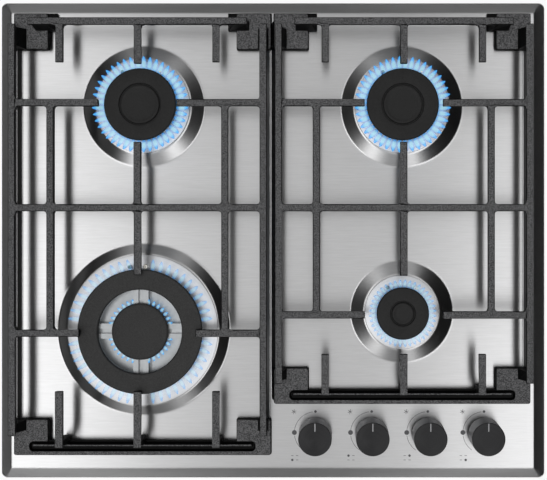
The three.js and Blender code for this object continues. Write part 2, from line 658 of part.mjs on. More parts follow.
function centreCap(burner) {
  const top = CAP_UNDERSIDE + CAP_THICKNESS;
  return turned([
    [0, CAP_UNDERSIDE], [CENTRE_CAP, CAP_UNDERSIDE], [CENTRE_CAP, top - CAP_EDGE - CENTRE_DOME],
    [CENTRE_CAP - CAP_EDGE, top - CENTRE_DOME], [CENTRE_CAP / 2, top - CENTRE_DOME / 4], [0, top],
  ], CROWN_SIDES, burner.x, burner.y);
}

function sparkElectrode(burner) {
  const [x, y] = polar(burner, burner.cap + SPARK_OFFSET, burner.sparkAngle);
  const top = WELL_FLOOR + SPARK_CERAMIC_TOP;
  const tip = WELL_FLOOR + SPARK_TIP_TOP;
  const bottom = top - SPARK_LENGTH;
  return turned([
    [0, bottom - SPARK_TAIL], [SPARK_TIP_RADIUS, bottom - SPARK_TAIL], [SPARK_TIP_RADIUS, bottom],
    [SPARK_RADIUS, bottom], [SPARK_RADIUS, top], [SPARK_TIP_RADIUS, top],
    [SPARK_TIP_RADIUS, tip - SPARK_POINT], [0, tip],
  ], PIN_SIDES, x, y);
}

function thermocouple(burner) {
  const [x, y] = polar(burner, burner.cap + COUPLE_OFFSET, burner.coupleAngle);
  const top = WELL_FLOOR + COUPLE_TOP;
  return turned([
    [0, top - COUPLE_LENGTH], [COUPLE_RADIUS, top - COUPLE_LENGTH], [COUPLE_RADIUS, top - COUPLE_NOSE],
    [COUPLE_NOSE_RADIUS, top - COUPLE_POINT], [0, top],
  ], PIN_SIDES, x, y);
}

// ---- Grates ----

// A level outline whose marked corners get the casting's inner fillet
function barOutline(corners) {
  return corners.flatMap(([x, y, mark], i) => {
    if (mark !== 'fillet') return [new THREE.Vector2(x, y)];
    const corner = new THREE.Vector2(x, y);
    const [before, after] = [corners.at(i - 1), corners[(i + 1) % corners.length]];
    const back = new THREE.Vector2(before[0] - x, before[1] - y).setLength(BAR_FILLET);
    const ahead = new THREE.Vector2(after[0] - x, after[1] - y).setLength(BAR_FILLET);
    const middle = back.clone().add(ahead).multiplyScalar(1 - Math.SQRT1_2);
    return [back.add(corner), middle.add(corner), ahead.add(corner)];
  });
}

function mirrored(corners, middle) {
  return corners.map(([x, y, mark]) => [2 * middle - x, y, mark]).reverse();
}

function barPlate(corners, windows = []) {
  const shape = new THREE.Shape(barOutline(corners));
  shape.holes = windows.map((window) => new THREE.Path(barOutline(window)));
  const geometry = new THREE.ExtrudeGeometry(shape, { depth: BAR_DEPTH, bevelEnabled: false });
  return toSolid(geometry.translate(0, 0, BARS_UNDERSIDE));
}

// Side bars, cross bars and the fingers between them, in one network about the burners' line
function barNetwork({ left, right, front, burners: [rearBurner, frontBurner] }) {
  const half = BAR_WIDTH / 2;
  const middle = rearBurner.x;
  const rightBar = right - SIDE_BAR_INSET;
  const leftBar = 2 * middle - (left + SIDE_BAR_INSET); // mirrored to the right of the burners' line
  const inner = middle + INNER_BAR;
  const rearEnd = GRATE_REAR - SIDE_BAR_REAR_INSET;
  const frontEnd = front + SIDE_BAR_FRONT_INSET;
  const halfOutline = (sideBar) => [
    [middle + half, frontBurner.y + frontBurner.fingers],
    [middle + half, MIDDLE_ROW - half, 'fillet'],
    [inner - half, MIDDLE_ROW - half, 'fillet'],
    [inner - half, frontBurner.y + half, 'fillet'],
    [middle + frontBurner.fingers, frontBurner.y + half],
    [middle + frontBurner.fingers, frontBurner.y - half],
    [sideBar - half, frontBurner.y - half, 'fillet'],
    [sideBar - half, frontEnd],
    [sideBar + half, frontEnd],
    [sideBar + half, rearEnd],
    [sideBar - half, rearEnd],
    [sideBar - half, rearBurner.y + half, 'fillet'],
    [middle + rearBurner.fingers, rearBurner.y + half],
    [middle + rearBurner.fingers, rearBurner.y - half],
    [inner - half, rearBurner.y - half, 'fillet'],
    [inner - half, MIDDLE_ROW + half, 'fillet'],
    [middle + half, MIDDLE_ROW + half, 'fillet'],
    [middle + half, rearBurner.y - rearBurner.fingers],
  ];
  const window = (sideBar, low, high) => [
    [inner + half, low + half, 'fillet'], [sideBar - half, low + half, 'fillet'],
    [sideBar - half, high - half, 'fillet'], [inner + half, high - half, 'fillet'],
  ];
  const rows = [[frontBurner.y, MIDDLE_ROW], [MIDDLE_ROW, rearBurner.y]];
  return barPlate([...halfOutline(rightBar), ...mirrored(halfOutline(leftBar), middle)], [
    ...rows.map(([low, high]) => window(rightBar, low, high)),
    ...rows.map(([low, high]) => mirrored(window(leftBar, low, high), middle)),
  ]);
}

// The rear bar with its long middle finger and two short fingers
function rearComb({ left, right, burners: [rearBurner] }) {
  const half = BAR_WIDTH / 2;
  const bar = GRATE_REAR - REAR_BAR_INSET;
  const finger = (x, end) => [[x - half, bar - half, 'fillet'], [x - half, end], [x + half, end],
    [x + half, bar - half, 'fillet']];
  const middle = rearBurner.x;
  return barPlate([
    [left + REAR_BAR_END_INSET, bar + half],
    [left + REAR_BAR_END_INSET, bar - half],
    ...finger(middle - SHORT_FINGER, bar - REAR_SHORT_LENGTH),
    ...finger(middle, rearBurner.y + rearBurner.fingers),
    ...finger(middle + SHORT_FINGER, bar - REAR_SHORT_LENGTH),
    [right - REAR_BAR_END_INSET, bar - half],
    [right - REAR_BAR_END_INSET, bar + half],
  ]);
}

// What is taken off under a finger, so that it gets thinner towards its free end
function fingerRelief(root, tip) {
  const along = new THREE.Vector2(tip[0] - root[0], tip[1] - root[1]);
  const run = along.length();
  along.normalize();
  const aside = new THREE.Vector2(-along.y, along.x).multiplyScalar(BAR_WIDTH);
  const rise = (BAR_DEPTH - TIP_DEPTH) / run;
  const corner = (distance, sign, z) => new THREE.Vector3(root[0] + along.x * distance + sign * aside.x,
    root[1] + along.y * distance + sign * aside.y, z);
  const end = run + THROUGH;
  const ring = (low, high) => [
    corner(0, -1, low), corner(end, -1, high), corner(end, 1, high), corner(0, 1, low),
  ];
  const below = BARS_UNDERSIDE - JOIN;
  return loft([ring(below, below), ring(BARS_UNDERSIDE, BARS_UNDERSIDE + rise * end)]);
}

function grateBars(grate) {
  const { burners: [rearBurner, frontBurner] } = grate;
  const middle = rearBurner.x;
  const shoulder = BAR_WIDTH / 2 + BAR_FILLET;
  const reliefs = [
    [[middle, GRATE_REAR - REAR_BAR_INSET - shoulder], [middle, rearBurner.y + rearBurner.fingers]],
    [[middle, MIDDLE_ROW + shoulder], [middle, rearBurner.y - rearBurner.fingers]],
    [[middle, MIDDLE_ROW - shoulder], [middle, frontBurner.y + frontBurner.fingers]],
  ];
  for (const side of [-1, 1]) {
    for (const burner of [rearBurner, frontBurner]) {
      reliefs.push([[middle + side * (INNER_BAR - shoulder), burner.y],
        [middle + side * burner.fingers, burner.y]]);
    }
  }
  return barNetwork(grate).add(rearComb(grate))
    .subtract(union(reliefs.map(([root, tip]) => fingerRelief(root, tip))));
}

// The low feet at the four corners, with the webs that carry the side and rear bars
function grateFeet(grate) {
  const { left, right, front } = grate;
  const underside = WELL_FLOOR + FOOT_UNDERSIDE;
  const top = WELL_FLOOR + FOOT_TOP;
  const feet = [];
  for (const side of [-1, 1]) {
    const edge = side < 0 ? left : right;
    const across = (near, far) => (side < 0 ? [edge + near, edge + far] : [edge - far, edge - near]);
    const drafted = (outline, bottom, topOutline, ceiling) => loft([
      rectangleRing(outline, bottom), rectangleRing(topOutline, ceiling),
    ]);
    const pads = [[GRATE_REAR - FOOT_LENGTH, GRATE_REAR], [front, front + FOOT_LENGTH]];
    for (const [padFront, padRear] of pads) {
      const pad = [...across(0, FOOT_WIDTH), padFront, padRear];
      feet.push(loft([
        roundedRing(pad, FOOT_CORNER, underside, 2), roundedRing(grow(pad, -FOOT_DRAFT), FOOT_CORNER, top, 2),
      ]));
    }
    const barEdges = across(SIDE_BAR_INSET - BAR_WIDTH / 2, SIDE_BAR_INSET + BAR_WIDTH / 2);
    const webFeet = across(SIDE_BAR_INSET - BAR_WIDTH / 2, SIDE_BAR_INSET + BAR_WIDTH / 2 + WEB_DRAFT);
    const rearEnd = GRATE_REAR - SIDE_BAR_REAR_INSET;
    const frontEnd = front + SIDE_BAR_FRONT_INSET;
    feet.push(drafted([...webFeet, GRATE_REAR - FOOT_LENGTH + JOIN, rearEnd], top - JOIN,
      [...barEdges, GRATE_REAR - FOOT_LENGTH + JOIN, rearEnd], BARS_UNDERSIDE + JOIN));
    feet.push(drafted([...webFeet, frontEnd, front + FOOT_LENGTH - JOIN], top - JOIN,
      [...barEdges, frontEnd, front + FOOT_LENGTH - JOIN], BARS_UNDERSIDE + JOIN));
    const rearBar = GRATE_REAR - REAR_BAR_INSET;
    feet.push(block([...across(0, REAR_TOE_LENGTH), GRATE_REAR - REAR_TOE_WIDTH, GRATE_REAR], underside,
      underside + REAR_TOE_THICKNESS));
    feet.push(drafted(
      [...across(REAR_BAR_END_INSET, REAR_BAR_END_INSET + REAR_WEB_LENGTH),
        rearBar - BAR_WIDTH / 2 - WEB_DRAFT / 2, rearBar + BAR_WIDTH / 2 + WEB_DRAFT / 2],
      underside + JOIN,
      [...across(REAR_BAR_END_INSET, REAR_BAR_END_INSET + REAR_WEB_LENGTH - WEB_DRAFT),
        rearBar - BAR_WIDTH / 2, rearBar + BAR_WIDTH / 2],
      BARS_UNDERSIDE + JOIN));
  }
  return feet;
}

// The low rail between the front feet, level with them at the front and lower behind
function railBody({ left, right, front }) {
  const sides = [left + FOOT_WIDTH / 2, right - FOOT_WIDTH / 2];
  const top = WELL_FLOOR + FOOT_TOP;
  const rear = front + RAIL_WIDTH;
  return loft([
    rectangleRing([...sides, front, rear], WELL_FLOOR + FOOT_UNDERSIDE),
    rectangleRing([...sides, front + FOOT_DRAFT, rear], top),
  ]).subtract(block([...sides, rear - RAIL_REAR_LIP - JOIN, rear + THROUGH], WELL_FLOOR + RAIL_REAR_TOP,
    top + THROUGH));
}

// What is cut out of the rail and the feet beside it
function railTrough({ left, right, front }) {
  const outline = [left + TROUGH_END, right - TROUGH_END, front + TROUGH_LIP,
    front + TROUGH_LIP + TROUGH_WIDTH];
  const top = WELL_FLOOR + FOOT_TOP;
  return loft([
    roundedRing(grow(outline, -TROUGH_DRAFT), TROUGH_CORNER - TROUGH_DRAFT, WELL_FLOOR + TROUGH_FLOOR),
    roundedRing(outline, TROUGH_CORNER, top), roundedRing(outline, TROUGH_CORNER, top + THROUGH),
  ]);
}

// The rounded rib that stands in the trough
function railRib({ left, right, front }) {
  const end = TROUGH_END + RIB_END;
  const middle = front + RIB_INSET;
  const crest = [left + end, right - end, middle - RIB_WIDTH / 2, middle + RIB_WIDTH / 2];
  return loft([
    rectangleRing(grow(crest, RIB_DRAFT), WELL_FLOOR + TROUGH_FLOOR - JOIN),
    rectangleRing(crest, WELL_FLOOR + RIB_TOP - RIB_CHAMFER),
    rectangleRing(grow(crest, -RIB_CHAMFER), WELL_FLOOR + RIB_TOP),
  ]);
}

// The front fingers on their posts, which rise from the rail with a sloped face
function frontFingers({ front, burners: [, burner] }) {
  const post = front + FRONT_POST_INSET;
  const tip = burner.y - burner.fingers;
  return [-SHORT_FINGER, 0, SHORT_FINGER].flatMap((offset) => {
    const x = burner.x + offset;
    const sides = [x - BAR_WIDTH / 2, x + BAR_WIDTH / 2];
    return [
      block([...sides, post, tip], BARS_UNDERSIDE, BARS_TOP)
        .subtract(fingerRelief([x, post + BAR_WIDTH], [x, tip])),
      loft([
        rectangleRing([...sides, post - POST_TOE, post + BAR_WIDTH], WELL_FLOOR + FOOT_UNDERSIDE),
        rectangleRing([...sides, post, post + BAR_WIDTH], BARS_UNDERSIDE + JOIN),
      ]),
    ];
  });
}

function rubberPlaces(grate) {
  const inset = FOOT_WIDTH / 2;
  return [
    ['rear_left', grate.left + inset, GRATE_REAR - RUBBER_INSET],
    ['rear_right', grate.right - inset, GRATE_REAR - RUBBER_INSET],
    ['front_left', grate.left + inset, grate.front + RUBBER_INSET],
    ['front_right', grate.right - inset, grate.front + RUBBER_INSET],
  ];
}

function grateCasting(grate) {
  let casting = union([railBody(grate), ...grateFeet(grate)]).subtract(railTrough(grate));
  casting = union([casting, railRib(grate), grateBars(grate), ...frontFingers(grate)]);
  for (const [, x, y] of rubberPlaces(grate)) {
    casting = casting.subtract(cylinder(RUBBER_STEM_RADIUS + FIT, WELL_FLOOR,
      WELL_FLOOR + FOOT_UNDERSIDE + RUBBER_STEM_LENGTH + FIT, PIN_SIDES, x, y));
  }
  return casting;
}

function rubberFoot(x, y) {
  const bottom = WELL_FLOOR + GAP;
  const shoulder = WELL_FLOOR + FOOT_UNDERSIDE - GAP;
  return turned([
    [0, bottom], [RUBBER_RADIUS, bottom], [RUBBER_RADIUS, shoulder], [RUBBER_STEM_RADIUS, shoulder],
    [RUBBER_STEM_RADIUS, shoulder + RUBBER_STEM_LENGTH], [0, shoulder + RUBBER_STEM_LENGTH],
  ], PIN_SIDES, x, y);
}

// ---- Knobs, taps and gas pipes ----

function knobPlaces() {
  return [0, 1, 2, 3].map((i) => KNOB_FIRST_X + i * KNOB_PITCH);
}

function knob(x) {
  const side = KNOB_RADIUS - KNOB_TAPER;
  return turned([
    [0, STEM_TOP + GAP], [STEM_RADIUS + FIT, STEM_TOP + GAP],
    [STEM_RADIUS + FIT, STEM_TOP - STEM_GRIP], [KNOB_HUB_RADIUS, STEM_TOP - STEM_GRIP],
    [KNOB_HUB_RADIUS, KNOB_CEILING], [side - KNOB_WALL, KNOB_CEILING],
    [KNOB_RADIUS - KNOB_WALL, KNOB_UNDERSIDE], [KNOB_RADIUS, KNOB_UNDERSIDE],
    [side, KNOB_FACE - KNOB_CHAMFER], [side - KNOB_CHAMFER, KNOB_FACE], [0, KNOB_FACE],
  ], KNOB_SIDES, x, KNOB_ROW);
}

// The stem's lower end has a flat on each side, which drives the plug
function tapStem(x) {
  const flatTop = PLUG_TOP + KNOB_TRAVEL + END_PLAY;
  const flatBottom = STEM_BOTTOM - JOIN;
  const outer = STEM_RADIUS + THROUGH;
  const span = [x - outer, x + outer];
  return cylinder(STEM_RADIUS, STEM_BOTTOM, STEM_TOP, STEM_SIDES, x, KNOB_ROW)
    .subtract(block([...span, KNOB_ROW + STEM_FLAT, KNOB_ROW + outer], flatBottom, flatTop))
    .subtract(block([...span, KNOB_ROW - outer, KNOB_ROW - STEM_FLAT], flatBottom, flatTop));
}

function tapPlug(x) {
  const halfSlot = [STEM_RADIUS + FIT, STEM_FLAT + FIT];
  const slot = block([x - halfSlot[0], x + halfSlot[0], KNOB_ROW - halfSlot[1], KNOB_ROW + halfSlot[1]],
    STEM_BOTTOM - KNOB_TRAVEL - END_PLAY, PLUG_TOP + THROUGH);
  return turned([
    [0, PLUG_BOTTOM + GAP], [PLUG_RADIUS - PLUG_TAPER, PLUG_BOTTOM + GAP],
    [PLUG_RADIUS, PLUG_TOP], [0, PLUG_TOP],
  ], STEM_SIDES, x, KNOB_ROW).subtract(slot);
}

function tapBody(x) {
  const half = TAP_WIDTH / 2;
  const rear = KNOB_ROW + TAP_DEPTH / 2;
  const ceiling = PLUG_TOP + TAP_HEADROOM;
  const shell = block([x - half, x + half, KNOB_ROW - TAP_DEPTH / 2, rear], TAP_BOTTOM, TAP_TOP);
  const port = block([x - TAP_PORT / 2, x + TAP_PORT / 2, rear - JOIN, MANIFOLD_ROW - MANIFOLD_RADIUS - GAP],
    MANIFOLD_HEIGHT - TAP_PORT / 2, MANIFOLD_HEIGHT + TAP_PORT / 2);
  const chamber = turned([
    [0, PLUG_BOTTOM], [PLUG_RADIUS - PLUG_TAPER + FIT, PLUG_BOTTOM], [PLUG_RADIUS + FIT, ceiling],
    [STEM_RADIUS + FIT, ceiling], [STEM_RADIUS + FIT, TAP_TOP + THROUGH], [0, TAP_TOP + THROUGH],
  ], STEM_SIDES, x, KNOB_ROW);
  return shell.add(port).subtract(chamber);
}

// A pipe along a smooth or cornered path
function pipe(path, radius, sides, steps) {
  const section = new THREE.Shape(Array.from({ length: sides }, (_, i) => {
    const angle = (i / sides) * Math.PI * 2;
    return new THREE.Vector2(radius * Math.cos(angle), radius * Math.sin(angle));
  }));
  return toSolid(new THREE.ExtrudeGeometry(section, { steps, extrudePath: path, curveSegments: 1 }));
}

function smooth(points) {
  return new THREE.CatmullRomCurve3(points.map((p) => new THREE.Vector3(...p)), false, 'centripetal');
}

// From a tap's outlet to the injector holder under its burner
function gasTube(x, burner) {
  const start = KNOB_ROW + TAP_DEPTH / 2 + GAP;
  const end = CUP_BOTTOM + INJECTOR_HEIGHT / 2;
  const side = Math.sign(x - burner.x);
  const seat = burner.x + side * (INJECTOR_RADIUS + GAP);
  const halfway = [(x + seat) / 2, (start + burner.y) / 2];
  return pipe(smooth([
    [x, start, TUBE_HEIGHT], [x, start + TUBE_RUN_OUT, TUBE_HEIGHT], [...halfway, TUBE_HEIGHT],
    [seat + side * TUBE_APPROACH, burner.y, TUBE_HEIGHT + TUBE_DIP],
    [seat + side * TUBE_RUN_IN, burner.y, end], [seat, burner.y, end],
  ]), TUBE_RADIUS, TUBE_SIDES, TUBE_STEPS);
}

// The rail behind the taps, a corner fitting, and the leg to the inlet at the rear right
function gasManifold() {
  const half = MANIFOLD_RADIUS + FITTING_WALL;
  const rail = alongY(MANIFOLD_RADIUS, MANIFOLD_START, MANIFOLD_SIDE, PIPE_SIDES).rotate([0, 0, -90])
    .translate([0, MANIFOLD_ROW, MANIFOLD_HEIGHT]);
  const leg = alongY(MANIFOLD_RADIUS, MANIFOLD_ROW, MANIFOLD_REAR, PIPE_SIDES)
    .translate([MANIFOLD_SIDE, 0, MANIFOLD_HEIGHT]);
  const fitting = block([MANIFOLD_SIDE - half, MANIFOLD_SIDE + half, MANIFOLD_ROW - MANIFOLD_RADIUS,
    MANIFOLD_ROW + half], MANIFOLD_HEIGHT - half, MANIFOLD_HEIGHT + half);
  return union([rail, leg, fitting]);
}

// The inlet: a block on the manifold's end with a threaded nipple through the pan's rear wall
function inletElbow() {
  const front = MANIFOLD_REAR + GAP;
  const half = MANIFOLD_RADIUS + INLET_BLOCK_WALL;
  const end = PAN_END + INLET_REACH;
  const body = block([MANIFOLD_SIDE - half, MANIFOLD_SIDE + half, front, front + 2 * half],
    INLET_HEIGHT - half, MANIFOLD_HEIGHT + half);
  const nipple = alongY(INLET_RADIUS, front + half, end, CUP_SIDES)
    .translate([MANIFOLD_SIDE, 0, INLET_HEIGHT]);
  const bore = alongY(INLET_RADIUS - INLET_WALL, front + half, end + THROUGH, CUP_SIDES)
    .translate([MANIFOLD_SIDE, 0, INLET_HEIGHT]);
  return body.add(nipple).subtract(bore);
}

function ignitionModule() {
  const left = MODULE_SIDE_MARGIN - PAN_SIDE;
  const front = MODULE_FRONT_MARGIN - PAN_END;
  const outline = [left, left + MODULE_WIDTH, front, front + MODULE_DEPTH];
  const bottom = PAN_SHEET + GAP;
  return loft([roundedRing(outline, MODULE_CORNER, bottom, 2),
    roundedRing(grow(outline, -MODULE_DRAFT), MODULE_CORNER, bottom + MODULE_HEIGHT, 2)]);
}

function cableGland() {
  const [inner, outer] = [PAN_END - GLAND_INSIDE, PAN_END + GLAND_OUTSIDE];
  const collarEnd = PAN_END - PAN_SHEET - GAP;
  const body = alongY(GLAND_RADIUS, inner, outer, STEM_SIDES);
  const collar = alongY(GLAND_RADIUS + GLAND_COLLAR, collarEnd - GLAND_COLLAR_LENGTH, collarEnd, STEM_SIDES);
  const bore = alongY(GLAND_RADIUS - GLAND_WALL, inner - THROUGH, outer + THROUGH, STEM_SIDES);
  return body.add(collar).subtract(bore).translate([MANIFOLD_SIDE - GLAND_SPACING, 0, GLAND_HEIGHT]);
}

// ---- Assembly ----

const GRATES = [
  { name: 'left', left: LEFT_GRATE_LEFT, right: LEFT_GRATE_RIGHT, front: LEFT_GRATE_FRONT,
    burners: [REAR_LEFT, FRONT_LEFT] },
  { name: 'right', left: RIGHT_GRATE_LEFT, right: RIGHT_GRATE_RIGHT, front: RIGHT_GRATE_FRONT,
    burners: [REAR_RIGHT, FRONT_RIGHT] },
];

addPiece('top_plate', topPlate(), MATERIALS.stainless);
addPiece('base_pan', basePan(), MATERIALS.galvanised);
addPiece('worktop_seal', worktopSeal(), MATERIALS.rubber);
addPiece('clamp_left', clamp(-1), MATERIALS.galvanised);
addPiece('clamp_right', clamp(1), MATERIALS.galvanised);

for (const burner of BURNERS) {
  const spreader = burner.triple ? tripleSpreader(burner) : flameSpreader(burner);
  addPiece(`burner_cup_${burner.name}`, burnerCup(burner), MATERIALS.aluminium);
  addPiece(`flame_spreader_${burner.name}`, spreader, MATERIALS.aluminium);
  addPiece(`spark_electrode_${burner.name}`, sparkElectrode(burner), MATERIALS.ceramic);
  addPiece(`thermocouple_${burner.name}`, thermocouple(burner), MATERIALS.copper);
  if (burner.triple) {
    addPiece('ring_cap_front_left', ringCap(burner), MATERIALS.enamel);
    addPiece('centre_cap_front_left', centreCap(burner), MATERIALS.enamel);
  } else {
    addPiece(`cap_${burner.name}`, dishedCap(burner), MATERIALS.enamel);
  }
}

for (const grate of GRATES) {
  addPiece(`grate_${grate.name}`, grateCasting(grate), MATERIALS.enamelledIron);
  for (const [corner, x, y] of rubberPlaces(grate)) {
    addPiece(`rubber_foot_${grate.name}_${corner}`, rubberFoot(x, y), MATERIALS.rubber);
  }
}

// Knobs from left to right work the front left, rear left, rear right and front right burners
const KNOB_ORDER = [FRONT_LEFT, REAR_LEFT, REAR_RIGHT, FRONT_RIGHT];
knobPlaces().forEach((x, i) => {
  const burner = KNOB_ORDER[i];
  addPiece(`knob_${burner.name}`, knob(x), MATERIALS.anthracite);
  addPiece(`tap_stem_${burner.name}`, tapStem(x), MATERIALS.brass);
  addPiece(`tap_plug_${burner.name}`, tapPlug(x), MATERIALS.brass);
  addPiece(`tap_body_${burner.name}`, tapBody(x), MATERIALS.aluminium);
  addPiece(`gas_tube_${burner.name}`, gasTube(x, burner), MATERIALS.aluminium);
});
addPiece('gas_manifold', gasManifold(), MATERIALS.galvanised);
addPiece('inlet_elbow', inletElbow(), MATERIALS.brass);
addPiece('ignition_module', ignitionModule(), MATERIALS.plastic);
addPiece('cable_gland', cableGland(), MATERIALS.plastic);

export default cooktop;
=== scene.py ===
import math
import bmesh
import bpy
import numpy as np
from mathutils.geometry import delaunay_2d_cdt
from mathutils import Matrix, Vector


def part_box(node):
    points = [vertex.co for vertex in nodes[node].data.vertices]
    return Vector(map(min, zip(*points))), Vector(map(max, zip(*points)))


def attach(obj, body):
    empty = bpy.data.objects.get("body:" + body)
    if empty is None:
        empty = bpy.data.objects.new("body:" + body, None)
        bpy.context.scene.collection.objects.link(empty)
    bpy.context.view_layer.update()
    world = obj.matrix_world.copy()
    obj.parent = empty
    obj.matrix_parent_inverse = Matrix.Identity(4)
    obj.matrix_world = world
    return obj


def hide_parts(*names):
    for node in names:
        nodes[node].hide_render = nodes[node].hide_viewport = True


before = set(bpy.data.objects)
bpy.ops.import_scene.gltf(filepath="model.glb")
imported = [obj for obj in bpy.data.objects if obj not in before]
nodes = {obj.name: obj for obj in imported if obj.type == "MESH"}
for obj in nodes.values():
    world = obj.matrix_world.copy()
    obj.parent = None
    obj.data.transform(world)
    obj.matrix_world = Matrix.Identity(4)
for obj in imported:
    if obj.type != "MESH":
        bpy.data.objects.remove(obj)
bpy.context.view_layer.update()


# ---- Base pan ----
# The burner box under the plate, folded from zinc-coated sheet with vent slots in its floor.
# It hangs under the top plate by its flange, and its sheet keeps the dull spangle of the zinc.

def colour(code, alpha=1.0):
    """Linear colour from an sRGB hex value: the sRGB curve undone channel by channel."""
    channels = np.array([int(code[i:i + 2], 16) for i in (1, 3, 5)]) / 255
    linear = np.where(channels <= 0.04045, channels / 12.92, ((channels + 0.055) / 1.055) ** 2.4)
    return (*linear.tolist(), alpha)


def add(tree, kind, inputs=None, **settings):
    """One node in a tree. inputs gives each input, by name or number, a value or the socket it links to."""
    made = tree.nodes.new(kind)
    for key, value in settings.items():
        setattr(made, key, value)
    for key, value in (inputs or {}).items():
        if isinstance(value, bpy.types.NodeSocket):
            tree.links.new(value, made.inputs[key])
        else:
            made.inputs[key].default_value = value
    return made


def empty_material(name):
    made = bpy.data.materials.new(name)
    made.use_nodes = True
    made.node_tree.nodes.clear()
    return made, made.node_tree


def give(material, *pieces):
    for piece in pieces:
        piece.data.materials.clear()
        piece.data.materials.append(material)


# Galvanised sheet: hot-dip zinc on steel. Crystals about 8 mm wide show as faint grey patches.
zinc_sheet, tree = empty_material("zinc_coated_steel_sheet")
place = add(tree, "ShaderNodeTexCoord")
spangle = add(tree, "ShaderNodeTexVoronoi", {"Vector": place.outputs["Object"], "Scale": 120.0})
patches = add(tree, "ShaderNodeMix", {
    0: spangle.outputs["Distance"], 6: colour("#8f9496"), 7: colour("#b4b8ba")}, data_type="RGBA")
dents = add(tree, "ShaderNodeTexNoise", {"Vector": place.outputs["Object"], "Scale": 400.0, "Detail": 2.0})
relief = add(tree, "ShaderNodeBump", {"Height": dents.outputs["Fac"], "Strength": 0.08, "Distance": 0.0005})
skin = add(tree, "ShaderNodeBsdfPrincipled", {
    "Base Color": patches.outputs[2], "Metallic": 0.9, "Roughness": 0.45,
    "Normal": relief.outputs["Normal"]})
add(tree, "ShaderNodeOutputMaterial", {"Surface": skin.outputs["BSDF"]})
give(zinc_sheet, nodes["base_pan"], nodes["clamp_left"], nodes["clamp_right"], nodes["gas_manifold"])


# ---- Worktop seal ----
# A flat strip of closed-cell foam rubber stuck under the rim, which seals the plate to the worktop.

# Foam rubber: cut from sheet, matt black with fine pores of about 0.7 mm.
foam, tree = empty_material("closed_cell_foam_rubber")
place = add(tree, "ShaderNodeTexCoord")
pores = add(tree, "ShaderNodeTexNoise", {"Vector": place.outputs["Object"], "Scale": 1500.0, "Detail": 1.0})
relief = add(tree, "ShaderNodeBump", {"Height": pores.outputs["Fac"], "Strength": 0.3, "Distance": 0.0004})
tone = add(tree, "ShaderNodeMix", {
    0: pores.outputs["Fac"], 6: colour("#17181a"), 7: colour("#2a2b2d")}, data_type="RGBA")
skin = add(tree, "ShaderNodeBsdfPrincipled", {
    "Base Color": tone.outputs[2], "Roughness": 0.9, "Normal": relief.outputs["Normal"]})
add(tree, "ShaderNodeOutputMaterial", {"Surface": skin.outputs["BSDF"]})
give(foam, nodes["worktop_seal"])


# ---- Taps, gas pipes and ignition ----
# Die-cast aluminium tap bodies with brass plugs and stems, drawn aluminium tubes to the injectors,
# a brass inlet, and the moulded housing of the spark generator. All of it sits inside the pan.

# Die-cast aluminium: tumbled after casting, satin grey with faint flow marks about 10 mm long.
cast_aluminium, tree = empty_material("die_cast_aluminium")
place = add(tree, "ShaderNodeTexCoord")
flow = add(tree, "ShaderNodeTexNoise", {"Vector": place.outputs["Object"], "Scale": 90.0, "Detail": 3.0})
tone = add(tree, "ShaderNodeMix", {
    0: flow.outputs["Fac"], 6: colour("#a3a6a8"), 7: colour("#c3c6c8")}, data_type="RGBA")
grit = add(tree, "ShaderNodeTexNoise", {"Vector": place.outputs["Object"], "Scale": 1600.0, "Detail": 1.0})
relief = add(tree, "ShaderNodeBump", {"Height": grit.outputs["Fac"], "Strength": 0.12, "Distance": 0.0003})
skin = add(tree, "ShaderNodeBsdfPrincipled", {
    "Base Color": tone.outputs[2], "Metallic": 1.0, "Roughness": 0.42, "Normal": relief.outputs["Normal"]})
add(tree, "ShaderNodeOutputMaterial", {"Surface": skin.outputs["BSDF"]})

# Turned brass: free-cutting brass from the bar, warm yellow with turning marks about 0.6 mm apart.
brass, tree = empty_material("turned_brass")
place = add(tree, "ShaderNodeTexCoord")
rings = add(tree, "ShaderNodeTexWave", {
    "Vector": place.outputs["Object"], "Scale": 500.0, "Distortion": 1.0}, bands_direction="Z")
tone = add(tree, "ShaderNodeMix", {
    0: rings.outputs["Fac"], 6: colour("#a98a4c"), 7: colour("#c8a962")}, data_type="RGBA")
skin = add(tree, "ShaderNodeBsdfPrincipled", {
    "Base Color": tone.outputs[2], "Metallic": 1.0, "Roughness": 0.32})
add(tree, "ShaderNodeOutputMaterial", {"Surface": skin.outputs["BSDF"]})

# Black polyamide: injection moulded with a spark-eroded texture of about 0.4 mm.
polyamide, tree = empty_material("moulded_black_polyamide")
place = add(tree, "ShaderNodeTexCoord")
eroded = add(tree, "ShaderNodeTexNoise", {"Vector": place.outputs["Object"], "Scale": 2500.0, "Detail": 1.0})
relief = add(tree, "ShaderNodeBump", {"Height": eroded.outputs["Fac"], "Strength": 0.2, "Distance": 0.0002})
tone = add(tree, "ShaderNodeMix", {
    0: eroded.outputs["Fac"], 6: colour("#1b1c1e"), 7: colour("#26272a")}, data_type="RGBA")
skin = add(tree, "ShaderNodeBsdfPrincipled", {
    "Base Color": tone.outputs[2], "Roughness": 0.55, "Normal": relief.outputs["Normal"]})
add(tree, "ShaderNodeOutputMaterial", {"Surface": skin.outputs["BSDF"]})

KNOBS = ["front_left", "rear_left", "rear_right", "front_right"]
for name in KNOBS:
    give(cast_aluminium, nodes["tap_body_" + name], nodes["gas_tube_" + name])
    give(brass, nodes["tap_plug_" + name], nodes["tap_stem_" + name])
give(brass, nodes["inlet_elbow"])
give(polyamide, nodes["ignition_module"], nodes["cable_gland"])


# ---- Top plate ----
# One sheet of 1 mm stainless steel, brushed from left to right before it is pressed: a bevelled rim,
# two shallow wells, and a raised boss with a conical side under each burner.

